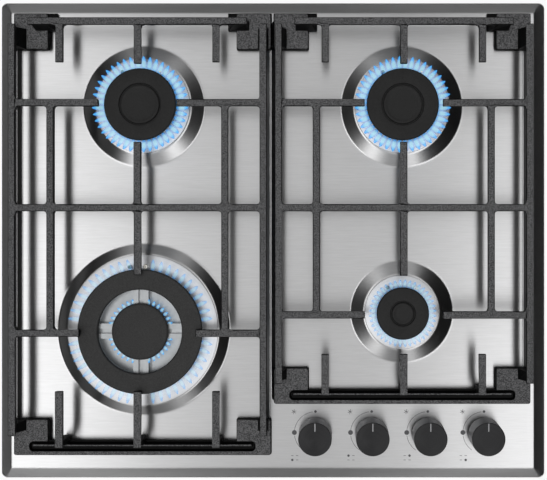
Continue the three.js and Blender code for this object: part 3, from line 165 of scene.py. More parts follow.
SHEET = 0.001
RIM_RUN, RIM_HEIGHT, RIM_EDGE, RIM_BEND = 0.012, 0.008, 0.0012, 0.0014
RIM_CORNER, TOP_CORNER = 0.006, 0.0015
WELL_SLOPE, WELL_CORNER, WELL_DEPTH, WELL_BEND = 0.0046, 0.004, 0.003, 0.0009
SIDE_LAND, REAR_LAND, FRONT_LAND, CONTROL_LAND = 0.007, 0.0081, 0.0175, 0.0715
RIDGE = (-0.0032, -0.001)  # x of the narrow land's two sides, between the wells
BOSS_RISE, BOSS_BEND, HOLE_MARGIN = 0.0055, 0.0016, 0.008
BURNERS = {  # burner: cap node, level seat and sloped side of its boss beyond the cap's edge
    "rear_left": ("cap_rear_left", 0.0132, 0.0134),
    "rear_right": ("cap_rear_right", 0.0132, 0.0134),
    "front_left": ("ring_cap_front_left", 0.0155, 0.0106),
    "front_right": ("cap_front_right", 0.01285, 0.01405),
}


def burner_place(name):
    """Centre (x, y) and cap radius of a burner, from its cap's box."""
    low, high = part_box(BURNERS[name][0])
    return (low.x + high.x) / 2, (low.y + high.y) / 2, (high.x - low.x) / 2


def eased(points, radius, steps=3):
    """A line of (offset, z) points whose inner corners become quadratic curves that start radius away."""
    points = np.asarray(points, float)
    out = [points[0]]
    for before, corner, after in zip(points[:-2], points[1:-1], points[2:]):
        back, ahead = before - corner, after - corner
        reach = min(radius, 0.45 * np.hypot(*back), 0.45 * np.hypot(*ahead))
        start, end = corner + back / np.hypot(*back) * reach, corner + ahead / np.hypot(*ahead) * reach
        t = np.linspace(0, 1, steps + 1)[:, None]
        out.extend((1 - t) ** 2 * start + 2 * t * (1 - t) * corner + t ** 2 * end)
    return np.array(out + [points[-1]])


def rounded_outline(left, right, front, rear, radius, steps=5):
    """Points round a rectangle whose corners are arcs: a quarter circle about each corner's middle."""
    middles = [(right - radius, rear - radius), (left + radius, rear - radius),
               (left + radius, front + radius), (right - radius, front + radius)]
    turns = np.arange(4)[:, None] * math.pi / 2 + np.linspace(0, math.pi / 2, steps + 1)[None]
    arcs = np.stack([np.cos(turns), np.sin(turns)], -1) * radius + np.array(middles)[:, None]
    return arcs.reshape(-1, 2)


def circle(x, y, radius, count):
    angle = np.arange(count) / count * 2 * math.pi
    return np.stack([x + radius * np.cos(angle), y + radius * np.sin(angle)], -1)


def placed(name, mesh):
    made = bpy.data.objects.new(name, mesh)
    bpy.context.scene.collection.objects.link(made)
    return made


def corner_spots(mesh):
    """The place of each face corner: the coordinates of its vertex."""
    spots, corner = np.zeros(len(mesh.vertices) * 3), np.zeros(len(mesh.loops), int)
    mesh.vertices.foreach_get("co", spots)
    mesh.loops.foreach_get("vertex_index", corner)
    return spots.reshape(-1, 3)[corner]


def new_piece(name, vertices, faces, body, smooth):
    """A mesh object from points and faces, doubles merged, smooth below that edge angle in degrees."""
    mesh = bpy.data.meshes.new(name)
    mesh.from_pydata(np.asarray(vertices).tolist(), [], np.asarray(faces).tolist())
    work = bmesh.new()
    work.from_mesh(mesh)
    bmesh.ops.remove_doubles(work, verts=work.verts, dist=1e-6)
    bmesh.ops.dissolve_degenerate(work, edges=work.edges, dist=1e-6)
    work.to_mesh(mesh)
    work.free()
    mesh.shade_smooth()
    mesh.set_sharp_from_angle(angle=math.radians(smooth))
    made = placed(name, mesh)
    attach(made, body)
    return made


plate_low, plate_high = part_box("top_plate")
TOP = plate_low.z + RIM_HEIGHT
FLOOR = TOP - WELL_DEPTH
rings = []  # closed level lines of the pressed sheet, each with its height


def press(outline, profile):
    for offset, z in profile:
        rings.append((outline(offset), z))


def rim_outline(offset):
    """The plate's outline moved out by offset; its corners' radius falls evenly from the edge to the flat."""
    radius = max(TOP_CORNER, RIM_CORNER + (RIM_CORNER - TOP_CORNER) * offset / RIM_RUN)
    return rounded_outline(plate_low.x - offset, plate_high.x + offset, plate_low.y - offset,
                           plate_high.y + offset, radius)


# Each profile of the sheet starts or ends with a short level stretch, so that the bend beside it is round.
press(rim_outline, eased([(-RIM_RUN - 0.004, TOP), (-RIM_RUN, TOP), (-0.00005, plate_low.z + RIM_EDGE),
                          (0, plate_low.z)], RIM_BEND))
side, rear = plate_high.x - RIM_RUN - SIDE_LAND, plate_high.y - RIM_RUN - REAR_LAND
wells = [(-side, RIDGE[0], plate_low.y + RIM_RUN + FRONT_LAND, rear),
         (RIDGE[1], side, plate_low.y + RIM_RUN + CONTROL_LAND, rear)]
dip = eased([(0.0008, TOP), (0, TOP), (-WELL_SLOPE, FLOOR), (-WELL_SLOPE - 0.002, FLOOR)], WELL_BEND)
for left, right, front, back in wells:
    press(lambda offset: rounded_outline(left - offset, right + offset, front - offset, back + offset,
                                         WELL_CORNER + max(offset, -0.003)), dip)
holes = []
for name, (_, seat, slope) in BURNERS.items():
    x, y, cap = burner_place(name)
    holes.append((x, y, cap + HOLE_MARGIN))
    boss = eased([(cap + HOLE_MARGIN, FLOOR + BOSS_RISE), (cap + seat, FLOOR + BOSS_RISE),
                  (cap + seat + slope, FLOOR), (cap + seat + slope + 0.003, FLOOR)], BOSS_BEND, 4)
    press(lambda radius: circle(x, y, radius, 120), boss)

flat = np.concatenate([outline for outline, _ in rings])
height = np.concatenate([np.full(len(outline), z) for outline, z in rings])
starts = np.cumsum([0] + [len(outline) for outline, _ in rings])
edges = [(a + i, a + (i + 1) % (b - a)) for a, b in zip(starts[:-1], starts[1:]) for i in range(b - a)]
points, _, triangles, origins, _, _ = delaunay_2d_cdt([tuple(p) for p in flat], edges, [], 0, 1e-7)
points = np.array(points)
z = np.array([height[source[0]] for source in origins])
triangles = np.array(triangles)
middles = points[triangles].mean(1)
kept = np.ones(len(triangles), bool)
for x, y, radius in holes:
    kept &= np.hypot(middles[:, 0] - x, middles[:, 1] - y) > radius * 0.9995  # chords lie just inside the arc
plate = new_piece("pressed_plate", np.column_stack([points, z]), triangles[kept], "base", 30)
wall = plate.modifiers.new("sheet", "SOLIDIFY")
wall.thickness, wall.offset = SHEET, -1
grain_map = plate.data.uv_layers.new(name="grain")
spots = corner_spots(plate.data)
grain_map.data.foreach_set("uv", np.column_stack([spots[:, 1], -spots[:, 0]]).ravel())

# Brushed stainless steel: a belt draws scratches from left to right, so highlights spread front to back.
# The real scratches are 0.1 mm wide; here they are 1.2 mm wide and 25 mm long, as fine as shows.
brushed_steel, tree = empty_material("brushed_stainless_steel")
place = add(tree, "ShaderNodeTexCoord")
along = add(tree, "ShaderNodeMapping", {"Vector": place.outputs["Object"], "Scale": (40.0, 850.0, 850.0)})
scratches = add(tree, "ShaderNodeTexNoise", {
    "Vector": along.outputs["Vector"], "Scale": 1.0, "Detail": 4.0, "Roughness": 0.7})
tone = add(tree, "ShaderNodeMix", {
    0: scratches.outputs["Fac"], 6: colour("#c3c3c3"), 7: colour("#dcdcdd")}, data_type="RGBA")
relief = add(tree, "ShaderNodeBump", {
    "Height": scratches.outputs["Fac"], "Strength": 0.03, "Distance": 0.0005})
across = add(tree, "ShaderNodeTangent", direction_type="UV_MAP", uv_map="grain")
skin = add(tree, "ShaderNodeBsdfPrincipled", {
    "Base Color": tone.outputs[2], "Metallic": 1.0, "Roughness": 0.3, "Anisotropic": 0.9,
    "Tangent": across.outputs["Tangent"], "Normal": relief.outputs["Normal"]})
add(tree, "ShaderNodeOutputMaterial", {"Surface": skin.outputs["BSDF"]})
give(brushed_steel, plate)
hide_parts("top_plate")


# ---- Printed marks ----
# Beside each knob: a dot at off, a large dot with an arc for the flame, a spark sign, and three dashes and
# a dot that tell which burner it is. Screen printed in dark grey and stoved on.

INK, THIN_LINE, LINE = 0.00006, 0.00045, 0.0005
ARC_RADIUS, FLAME_DOT, OFF_DISTANCE, OFF_DOT = 0.0224, 0.0026, 0.0226, 0.0014
ARCS = [(97, 172, 28), (188, 235, 20)]  # start and end in degrees, and points
SPARK_PLACE, SPARK_REACH = (-0.0229, 0.0224), 0.0026
SIGN_PLACE, SIGN_SPREAD, SIGN_DOT, SIGN_DASH = (-0.0220, -0.0265), (0.0026, 0.0023), 0.0013, 0.0012
knob_places = [(sum(c.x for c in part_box("knob_" + name)) / 2, sum(c.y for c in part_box("knob_" + name)) / 2)
               for name in KNOBS]


def ribbon(path, width):
    """A flat strip along a line of (x, y) points: each point moved half the width to both sides."""
    path = np.asarray(path, float)
    ahead = np.gradient(path, axis=0)
    length = np.hypot(ahead[:, 0], ahead[:, 1])[:, None]
    aside = np.stack([-ahead[:, 1], ahead[:, 0]], -1) / length * width / 2
    return np.concatenate([path + aside, (path - aside)[::-1]])


def spot(x, y, radius):
    return circle(x, y, radius, 16)


marks = []
for i, (x, y) in enumerate(knob_places):
    marks.append(spot(x, y + OFF_DISTANCE, OFF_DOT))
    marks.append(spot(x - ARC_RADIUS, y + 0.0003, FLAME_DOT))
    for start, end, count in ARCS:
        turn = np.radians(np.linspace(start, end, count))
        arc = np.stack([x + ARC_RADIUS * np.cos(turn), y + ARC_RADIUS * np.sin(turn)], -1)
        marks.append(ribbon(arc, THIN_LINE))
    sx, sy = x + SPARK_PLACE[0], y + SPARK_PLACE[1]
    for angle in (20, 80, 140):
        dx, dy = SPARK_REACH * math.cos(math.radians(angle)), SPARK_REACH * math.sin(math.radians(angle))
        marks.append(ribbon([(sx - dx, sy - dy), (sx, sy), (sx + dx, sy + dy)], LINE))
    lit = [(-1, -1), (-1, 1), (1, 1), (1, -1)][i]
    for corner in [(-1, -1), (-1, 1), (1, 1), (1, -1)]:
        cx = x + SIGN_PLACE[0] + corner[0] * SIGN_SPREAD[0]
        cy = y + SIGN_PLACE[1] + corner[1] * SIGN_SPREAD[1]
        if corner == lit:
            marks.append(spot(cx, cy, SIGN_DOT))
        else:
            marks.append(ribbon([(cx - SIGN_DASH, cy), (cx, cy), (cx + SIGN_DASH, cy)], LINE))

vertices, faces = [], []
for outline in marks:
    start, count = len(vertices), len(outline)
    vertices += [(px, py, TOP) for px, py in outline] + [(px, py, TOP + INK) for px, py in outline]
    faces.append(list(range(start + count - 1, start - 1, -1)))
    faces.append(list(range(start + count, start + 2 * count)))
    faces += [(start + j, start + (j + 1) % count, start + count + (j + 1) % count, start + count + j)
              for j in range(count)]
print_mesh = bpy.data.meshes.new("printed_marks")
print_mesh.from_pydata(vertices, [], faces)
printed = placed("printed_marks", print_mesh)
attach(printed, "base")

# Stoved ink: dark grey screen printing, slightly uneven in its coverage.
ink, tree = empty_material("stoved_grey_ink")
place = add(tree, "ShaderNodeTexCoord")
cover = add(tree, "ShaderNodeTexNoise", {"Vector": place.outputs["Object"], "Scale": 900.0})
tone = add(tree, "ShaderNodeMix", {
    0: cover.outputs["Fac"], 6: colour("#3e3e40"), 7: colour("#565658")}, data_type="RGBA")
skin = add(tree, "ShaderNodeBsdfPrincipled", {"Base Color": tone.outputs[2], "Roughness": 0.6})
add(tree, "ShaderNodeOutputMaterial", {"Surface": skin.outputs["BSDF"]})
give(ink, printed)


# ---- Burner cups ----
# Die-cast aluminium cups through the plate's holes; the turned flange round the crown is what shows.

def turned_grid(profile, x, y, count):
    """A surface of revolution: each (radius, z) of the profile carried round the upright axis at (x, y)."""
    angle = np.arange(count) / count * 2 * math.pi
    radius, z = np.asarray(profile, float).T
    return np.stack([x + radius[:, None] * np.cos(angle), y + radius[:, None] * np.sin(angle),
                     np.broadcast_to(z[:, None], (len(z), count))], -1)


def grid_faces(rows, columns, closed_rows=False):
    """Quads between neighbours of a grid whose columns run all the way round."""
    row = np.arange(rows if closed_rows else rows - 1)[:, None]
    column = np.arange(columns)[None]
    a, b = row * columns + column, row * columns + (column + 1) % columns
    above = ((row + 1) % rows) * columns
    return np.stack([a, b, above + (column + 1) % columns, above + column], -1).reshape(-1, 4)


def turned(name, profile, x, y, body, count, smooth=32):
    """A turned piece. Its UV map spin holds the angle round the axis, unbroken in a face, and the radius."""
    grid = turned_grid(profile, x, y, count)
    made = new_piece(name, grid.reshape(-1, 3), grid_faces(len(grid), count), body, smooth)
    layer = made.data.uv_layers.new(name="spin")
    spots = corner_spots(made.data)
    turn = np.arctan2(spots[:, 1] - y, spots[:, 0] - x).reshape(-1)
    sizes = np.zeros(len(made.data.polygons), int)
    made.data.polygons.foreach_get("loop_total", sizes)
    first = np.repeat(np.concatenate([[0], np.cumsum(sizes)[:-1]]), sizes)
    turn = turn[first] + (turn - turn[first] + math.pi) % (2 * math.pi) - math.pi
    reach = np.hypot(spots[:, 0] - x, spots[:, 1] - y)
    layer.data.foreach_set("uv", np.column_stack([turn, reach]).ravel())
    return made


# Spun aluminium: the flange is faced on a lathe, so it is pale and bright with fine rings round the burner.
spun_aluminium, tree = empty_material("lathe_faced_aluminium")
uv = add(tree, "ShaderNodeUVMap", uv_map="spin")
fine = add(tree, "ShaderNodeMapping", {"Vector": uv.outputs["UV"], "Scale": (1.2, 900.0, 1.0)})
ringlets = add(tree, "ShaderNodeTexNoise", {"Vector": fine.outputs["Vector"], "Scale": 1.0, "Detail": 3.0})
tone = add(tree, "ShaderNodeMix", {
    0: ringlets.outputs["Fac"], 6: colour("#dcdde0"), 7: colour("#f2f3f5")}, data_type="RGBA")
round_tangent = add(tree, "ShaderNodeTangent", direction_type="UV_MAP", uv_map="spin")
skin = add(tree, "ShaderNodeBsdfPrincipled", {
    "Base Color": tone.outputs[2], "Metallic": 1.0, "Roughness": 0.4, "Anisotropic": 0.5,
    "Anisotropic Rotation": 0.25, "Tangent": round_tangent.outputs["Tangent"]})
add(tree, "ShaderNodeOutputMaterial", {"Surface": skin.outputs["BSDF"]})

CUP_WALL, CUP_INSET, CUP_CONE, CUP_BEND = 0.003, 0.006, 0.005, 0.0006
FLANGE_MARGIN, FLANGE_THICKNESS = 0.001, 0.0017
BORE, INJECTOR, INJECTOR_HEIGHT = 0.0065, 0.011, 0.013
for name, (_, seat, _) in BURNERS.items():
    x, y, cap = burner_place(name)
    low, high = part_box("burner_cup_" + name)
    body, edge = cap - CUP_INSET, cap + seat - FLANGE_MARGIN
    shoulder, flange = low.z + INJECTOR_HEIGHT, high.z - FLANGE_THICKNESS
    profile = [(0, low.z), (INJECTOR, low.z), (INJECTOR, shoulder), (body, shoulder + CUP_CONE),
               (body, flange), (edge, flange), (edge, high.z), (body - CUP_WALL, high.z),
               (body - CUP_WALL, shoulder + CUP_CONE + CUP_WALL), (BORE, shoulder + CUP_WALL),
               (BORE, shoulder - CUP_WALL), (0, shoulder - CUP_WALL)]
    cup = turned("cup_" + name, eased(profile, CUP_BEND, 2), x, y, "base", 120)
    give(spun_aluminium, cup)
    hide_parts("burner_cup_" + name)


# ---- Flame spreaders ----
# Pressure-cast aluminium crowns with V-shaped ports round the rim. The triple one has two ported rims,
# an inner crown, and four grooved bridges that carry the gas from one to the other.

PORTS = {"rear_left": 44, "rear_right": 44, "front_right": 40}
PORT_DEPTH, PORT_HALF, PER_PORT = 0.0036, 0.26, 8  # half a port's share of its pitch, points for a pitch
CROWN_WALL, CROWN_INSET, CROWN_FLOOR = 0.0026, 0.0018, 0.002
SPIGOT_WALL, SPIGOT_DIP = 0.0015, 0.007


def crown_rim(base, outer, top, ports, x, y, inner_side):
    """A ported wall: an upright ring whose top edge drops in a V at the middle of each port's pitch."""
    step = np.arange(ports * PER_PORT)
    angle = step / (ports * PER_PORT) * 2 * math.pi
    dip = PORT_DEPTH * np.clip(1 - np.abs(step % PER_PORT / PER_PORT - 0.5) / PORT_HALF, 0, 1)
    radii = [outer, outer, outer - CROWN_WALL, outer - CROWN_WALL]
    levels = [np.full_like(angle, base), top - dip, top - dip, np.full_like(angle, inner_side)]
    return np.stack([np.stack([x + r * np.cos(angle), y + r * np.sin(angle), z], -1)
                     for r, z in zip(radii, levels)])


for name, ports in PORTS.items():
    x, y, cap = burner_place(name)
    low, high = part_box("flame_spreader_" + name)
    bottom, wall_radius = low.z + SPIGOT_DIP, cap - CROWN_INSET
    rim = crown_rim(bottom, wall_radius, high.z, ports, x, y, bottom + CROWN_FLOOR)
    inside = turned_grid([(wall_radius - CROWN_WALL, bottom + CROWN_FLOOR), (BORE, bottom + CROWN_FLOOR),
                          (BORE, low.z), (BORE + SPIGOT_WALL, low.z), (BORE + SPIGOT_WALL, bottom),
                          (wall_radius, bottom)], x, y, ports * PER_PORT)
    grid = np.concatenate([rim, inside[1:-1]])
    crown = new_piece("crown_" + name, grid.reshape(-1, 3), grid_faces(len(grid), ports * PER_PORT, True),
                      "spreader_" + name, 30)
    give(cast_aluminium, crown)
    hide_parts("flame_spreader_" + name)
give(cast_aluminium, nodes["flame_spreader_front_left"])


# ---- Burner caps ----
# Steel caps in matt black vitreous enamel: a flat rim, a groove, and a middle disc with soft shoulders.
# The triple burner has a ring cap and a slightly domed centre cap.

# Matt enamel: fired glass frit on steel, nearly black, with a fine orange-peel grain of about 0.9 mm. The
# triple burner's caps are a shade lighter.

def fired_enamel(name, dark, light):
    made, tree = empty_material(name)
    place = add(tree, "ShaderNodeTexCoord")
    frit = add(tree, "ShaderNodeTexNoise", {
        "Vector": place.outputs["Object"], "Scale": 1100.0, "Detail": 2.0})
    grain = add(tree, "ShaderNodeMapRange", {"Value": frit.outputs["Fac"], 1: 0.3, 2: 0.7})
    cloud = add(tree, "ShaderNodeTexNoise", {"Vector": place.outputs["Object"], "Scale": 60.0, "Detail": 1.0})
    tone = add(tree, "ShaderNodeMix", {
        0: grain.outputs["Result"], 6: colour(dark), 7: colour(light)}, data_type="RGBA")
    relief = add(tree, "ShaderNodeBump", {
        "Height": frit.outputs["Fac"], "Strength": 0.12, "Distance": 0.0003})
    gloss = add(tree, "ShaderNodeMapRange", {"Value": cloud.outputs["Fac"], 3: 0.5, 4: 0.62})
    skin = add(tree, "ShaderNodeBsdfPrincipled", {
        "Base Color": tone.outputs[2], "Roughness": gloss.outputs["Result"], "Specular IOR Level": 0.3,
        "Normal": relief.outputs["Normal"]})
    add(tree, "ShaderNodeOutputMaterial", {"Surface": skin.outputs["BSDF"]})
    return made


enamel = fired_enamel("matt_black_vitreous_enamel", "#141414", "#242424")
grey_enamel = fired_enamel("matt_dark_grey_vitreous_enamel", "#212121", "#333333")

GROOVE_WIDTH, GROOVE_DEPTH, RIM_DROP, CAP_EDGE, CAP_BEND = 0.0017, 0.0022, 0.0006, 0.0006, 0.0005
for name, dish in (("rear_left", 0.0203), ("rear_right", 0.0203), ("front_right", 0.0115)):
    x, y, cap = burner_place(name)
    low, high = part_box("cap_" + name)
    top, level = high.z, high.z - RIM_DROP
    bottom = level - GROOVE_DEPTH
    profile = eased([(0, low.z), (cap - CAP_EDGE, low.z), (cap, low.z + CAP_EDGE), (cap, level - 0.0014),
                     (cap - 0.0009, level), (dish + GROOVE_WIDTH, level), (dish + GROOVE_WIDTH * 0.8, bottom),
                     (dish + GROOVE_WIDTH * 0.2, bottom), (dish - 0.0002, top - 0.0004), (dish - 0.0016, top),
                     (dish - 0.004, top - 0.0005), (0, top - 0.0005)], CAP_BEND, 3)
    cover = turned("cover_" + name, profile, x, y, "cap_" + name, 112, 50)
    give(enamel, cover)
    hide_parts("cap_" + name)

x, y, cap = burner_place("front_left")
low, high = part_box("ring_cap_front_left")
RING_HOLE, RING_EDGE = 0.0438, 0.001
ring = eased([(RING_HOLE, high.z - RING_EDGE), (RING_HOLE, low.z), (cap - 0.0005, low.z),
              (cap, low.z + CAP_EDGE), (cap, high.z - 0.0012), (cap - RING_EDGE, high.z),
              (RING_HOLE + RING_EDGE, high.z), (RING_HOLE, high.z - RING_EDGE)], CAP_BEND, 3)
cover = turned("cover_ring", ring, x, y, "ring_cap", 144, 50)
give(grey_enamel, cover)
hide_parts("ring_cap_front_left")
low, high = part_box("centre_cap_front_left")
radius, DOME = (high.x - low.x) / 2, 0.0014
arch = [(radius * t, high.z - DOME * t ** 2) for t in np.linspace(0.94, 0, 9)]
dome = eased([(0, low.z), (radius - 0.0004, low.z), (radius, low.z + 0.0005), (radius, high.z - 0.0024)]
             + arch, 0.0006, 3)
cover = turned("cover_centre", dome, x, y, "centre_cap", 96, 50)
give(grey_enamel, cover)
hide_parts("centre_cap_front_left")


# ---- Spark electrodes and thermocouples ----
# A steel pin in a white glazed ceramic body, and the copper-alloy probe of the flame guard, beside each cap.

# Glazed ceramic: steatite with a clear glaze, slightly warm white.
ceramic, tree = empty_material("white_glazed_steatite")
place = add(tree, "ShaderNodeTexCoord")
body_noise = add(tree, "ShaderNodeTexNoise", {"Vector": place.outputs["Object"], "Scale": 300.0})
tone = add(tree, "ShaderNodeMix", {
    0: body_noise.outputs["Fac"], 6: colour("#d9d4c8"), 7: colour("#efece3")}, data_type="RGBA")
skin = add(tree, "ShaderNodeBsdfPrincipled", {
    "Base Color": tone.outputs[2], "Roughness": 0.25, "Coat Weight": 0.5})
add(tree, "ShaderNodeOutputMaterial", {"Surface": skin.outputs["BSDF"]})

# Heat-tinted copper alloy: brown where the flame plays on it.
tinted, tree = empty_material("heat_tinted_copper_alloy")
place = add(tree, "ShaderNodeTexCoord")
tint = add(tree, "ShaderNodeTexNoise", {"Vector": place.outputs["Object"], "Scale": 250.0, "Detail": 2.0})
tone = add(tree, "ShaderNodeMix", {
    0: tint.outputs["Fac"], 6: colour("#6b5646"), 7: colour("#8f7a66")}, data_type="RGBA")
skin = add(tree, "ShaderNodeBsdfPrincipled", {
    "Base Color": tone.outputs[2], "Metallic": 1.0, "Roughness": 0.4})
add(tree, "ShaderNodeOutputMaterial", {"Surface": skin.outputs["BSDF"]})

WIRE, WIRE_END, BARE_TIP, PIN_BEND = 0.001, 0.006, 0.0055, 0.0005
for name in BURNERS:
    low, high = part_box("spark_electrode_" + name)
    x, y = (low.x + high.x) / 2, (low.y + high.y) / 2
    radius, top = (high.x - low.x) / 2, high.z - BARE_TIP
    profile = eased([(0, low.z), (WIRE, low.z), (WIRE, low.z + WIRE_END), (radius, low.z + WIRE_END),
                     (radius, top), (WIRE, top + 0.0002), (WIRE, high.z - 0.001), (0, high.z)], PIN_BEND, 3)
    pin = turned("spark_" + name, profile, x, y, "base", 24)
    give(ceramic, pin)
    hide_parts("spark_electrode_" + name)
    low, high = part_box("thermocouple_" + name)
    x, y, radius = (low.x + high.x) / 2, (low.y + high.y) / 2, (high.x - low.x) / 2
    profile = eased([(0, low.z), (radius, low.z), (radius, high.z - 0.003), (0.0014, high.z - 0.0008),
                     (0, high.z)], 0.0006, 3)
    probe = turned("probe_" + name, profile, x, y, "base", 24)
    give(tinted, probe)
    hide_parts("thermocouple_" + name)


# ---- Grates ----
# Two cast iron pan supports, sand cast, their edges rounded by shot blasting, in matt dark enamel. They
# stand on rubber feet. The bars taper towards their undersides, so that they come out of the mould.

# Enamel on cast iron: the sand's grain of about 1 mm stays in it, so the grey is mottled. Painted shade: the
# walls, the edge roundings and everything below the troughs' rim are painted near black, and only the upward
# faces at the feet's tops and above keep the grey.
RECESS, LAND = 0.0592, 0.0602  # height of the troughs' rim, and of the feet's tops
cast_iron, tree = empty_material("matt_enamelled_cast_iron")
place = add(tree, "ShaderNodeTexCoord")
sand = add(tree, "ShaderNodeTexNoise", {
    "Vector": place.outputs["Object"], "Scale": 950.0, "Detail": 2.0, "Roughness": 0.6})
grain = add(tree, "ShaderNodeMapRange", {"Value": sand.outputs["Fac"], 1: 0.35, 2: 0.65})
tops = add(tree, "ShaderNodeSeparateXYZ", {0: place.outputs["Normal"]})
level = add(tree, "ShaderNodeSeparateXYZ", {0: place.outputs["Object"]})
# Painted shade: faces tilted more than about 25 degrees from upright, and all below the troughs' rim, fade to
# near black.
facing = add(tree, "ShaderNodeMapRange", {"Value": tops.outputs["Z"], 1: 0.9, 2: 1.0})
raised = add(tree, "ShaderNodeMapRange", {"Value": level.outputs["Z"], 1: RECESS, 2: LAND})
outside_painted_shade = add(tree, "ShaderNodeMath", {
    0: facing.outputs["Result"], 1: raised.outputs["Result"]}, operation="MULTIPLY")
tone = add(tree, "ShaderNodeMix", {
    0: grain.outputs["Result"], 6: colour("#222223"), 7: colour("#606061")}, data_type="RGBA")
shaded = add(tree, "ShaderNodeMix", {
    0: outside_painted_shade.outputs[0], 6: colour("#030303"), 7: tone.outputs[2]}, data_type="RGBA")
relief = add(tree, "ShaderNodeBump", {"Height": sand.outputs["Fac"], "Strength": 0.5, "Distance": 0.0005})
skin = add(tree, "ShaderNodeBsdfPrincipled", {
    "Base Color": shaded.outputs[2], "Roughness": 0.6, "Specular IOR Level": 0.2,
    "Normal": relief.outputs["Normal"]})
add(tree, "ShaderNodeOutputMaterial", {"Surface": skin.outputs["BSDF"]})

# Silicone rubber: moulded pads, matt black.
silicone, tree = empty_material("black_silicone_rubber")
place = add(tree, "ShaderNodeTexCoord")
bloom = add(tree, "ShaderNodeTexNoise", {"Vector": place.outputs["Object"], "Scale": 500.0})
tone = add(tree, "ShaderNodeMix", {
    0: bloom.outputs["Fac"], 6: colour("#161617"), 7: colour("#222223")}, data_type="RGBA")
skin = add(tree, "ShaderNodeBsdfPrincipled", {"Base Color": tone.outputs[2], "Roughness": 0.75})
add(tree, "ShaderNodeOutputMaterial", {"Surface": skin.outputs["BSDF"]})

BAR_DEPTH, TOP_SPREAD, FOOT_SPREAD = 0.010, 0.0007, -0.0010
EDGE, LESSER_EDGE, SHARP, NEAR = 0.0013, 0.35, 30, 0.001  # rounding, its share below, degrees, same level


def tapered_bars(mesh, top):
    """The bars' section: their sides lean in from a wide top to a narrow underside. Each corner of the mesh
    near those two levels moves in the plane until every wall beside it has moved by the same amount, by the
    pseudoinverse of the sum of its walls' n n', times the sum of their n."""
    spots, faces = np.zeros(len(mesh.vertices) * 3), np.zeros(len(mesh.polygons) * 3, int)
    normals = np.zeros(len(mesh.polygons) * 3)
    mesh.vertices.foreach_get("co", spots)
    mesh.polygons.foreach_get("vertices", faces)
    mesh.polygons.foreach_get("normal", normals)
    spots, faces, normals = spots.reshape(-1, 3), faces.reshape(-1, 3), normals.reshape(-1, 3)
    walls = np.abs(normals[:, 2]) < 0.3
    flat = normals[walls, :2] / np.linalg.norm(normals[walls, :2], axis=1, keepdims=True)
    square, total = np.zeros((len(spots), 2, 2)), np.zeros((len(spots), 2))
    for k in range(3):
        np.add.at(square, faces[walls, k], flat[:, :, None] * flat[:, None, :])
        np.add.at(total, faces[walls, k], flat)
    move = np.einsum("nij,nj->ni", np.linalg.pinv(square, rcond=0.02, hermitian=True), total)
    reach = np.where(spots[:, 2] > top - NEAR, TOP_SPREAD, 0)
    reach = np.where(np.abs(spots[:, 2] - top + BAR_DEPTH) < NEAR, FOOT_SPREAD, reach)
    spots[:, :2] += move * reach[:, None]
    mesh.vertices.foreach_set("co", spots.ravel())


for grate in ("left", "right"):
    mesh = nodes["grate_" + grate].data.copy()
    work = bmesh.new()
    work.from_mesh(mesh)
    bmesh.ops.remove_doubles(work, verts=work.verts, dist=1e-5)
    work.to_mesh(mesh)
    work.free()
    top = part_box("grate_" + grate)[1].z
    tapered_bars(mesh, top)
    mesh.shade_smooth()
    mesh.set_sharp_from_angle(angle=math.radians(12))
    casting = placed("casting_" + grate, mesh)
    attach(casting, "grate_" + grate)
    work = bmesh.new()
    work.from_mesh(mesh)
    share = work.edges.layers.float.new("bevel_weight_edge")
    for seam in work.edges:  # the undersides' edges stay sharp: rounding would shoot past their corners
        drops = [top - v.co.z for v in seam.verts]
        underside = max(abs(drop - BAR_DEPTH) for drop in drops) < NEAR
        if seam.calc_face_angle(0) > math.radians(SHARP) and not underside:
            seam[share] = 1.0 if max(drops) < NEAR else LESSER_EDGE
    work.to_mesh(mesh)
    work.free()
    edge = casting.modifiers.new("blasted_edges", "BEVEL")
    edge.width, edge.segments, edge.limit_method = EDGE, 4, "WEIGHT"
    edge.use_clamp_overlap, edge.harden_normals = False, True
    give(cast_iron, casting)
    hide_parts("grate_" + grate)
    for corner in ("rear_left", "rear_right", "front_left", "front_right"):
        give(silicone, nodes[f"rubber_foot_{grate}_{corner}"])


# ---- Knobs ----
# Anthracite anodised aluminium knobs with a spun top and a bright line that shows the setting.

# Anodised aluminium, spun: dark grey, with fine rings that spread the light across them. The turned side is
# painted much paler than the face: a painted sheen for the light it would reflect.
anthracite, tree = empty_material("anthracite_anodised_aluminium")
uv = add(tree, "ShaderNodeUVMap", uv_map="spin")
fine = add(tree, "ShaderNodeMapping", {"Vector": uv.outputs["UV"], "Scale": (1.0, 1400.0, 1.0)})
ringlets = add(tree, "ShaderNodeTexNoise", {"Vector": fine.outputs["Vector"], "Scale": 1.0, "Detail": 3.0})
place = add(tree, "ShaderNodeTexCoord")
tops = add(tree, "ShaderNodeSeparateXYZ", {0: place.outputs["Normal"]})
face_over_painted_sheen = add(tree, "ShaderNodeMapRange", {"Value": tops.outputs["Z"], 1: 0.1, 2: 0.6})
face_tone = add(tree, "ShaderNodeMix", {
    0: ringlets.outputs["Fac"], 6: colour("#282829"), 7: colour("#3a3a3b")}, data_type="RGBA")
# Painted sheen: walls that face sideways get the pale grey, and the upward face keeps the dark tone.
tone = add(tree, "ShaderNodeMix", {
    0: face_over_painted_sheen.outputs["Result"], 6: colour("#a0a0a2"), 7: face_tone.outputs[2]}, data_type="RGBA")
round_tangent = add(tree, "ShaderNodeTangent", direction_type="UV_MAP", uv_map="spin")
skin = add(tree, "ShaderNodeBsdfPrincipled", {
    "Base Color": tone.outputs[2], "Metallic": 0.85, "Roughness": 0.38, "Anisotropic": 0.7,
    "Anisotropic Rotation": 0.25, "Tangent": round_tangent.outputs["Tangent"]})
add(tree, "ShaderNodeOutputMaterial", {"Surface": skin.outputs["BSDF"]})

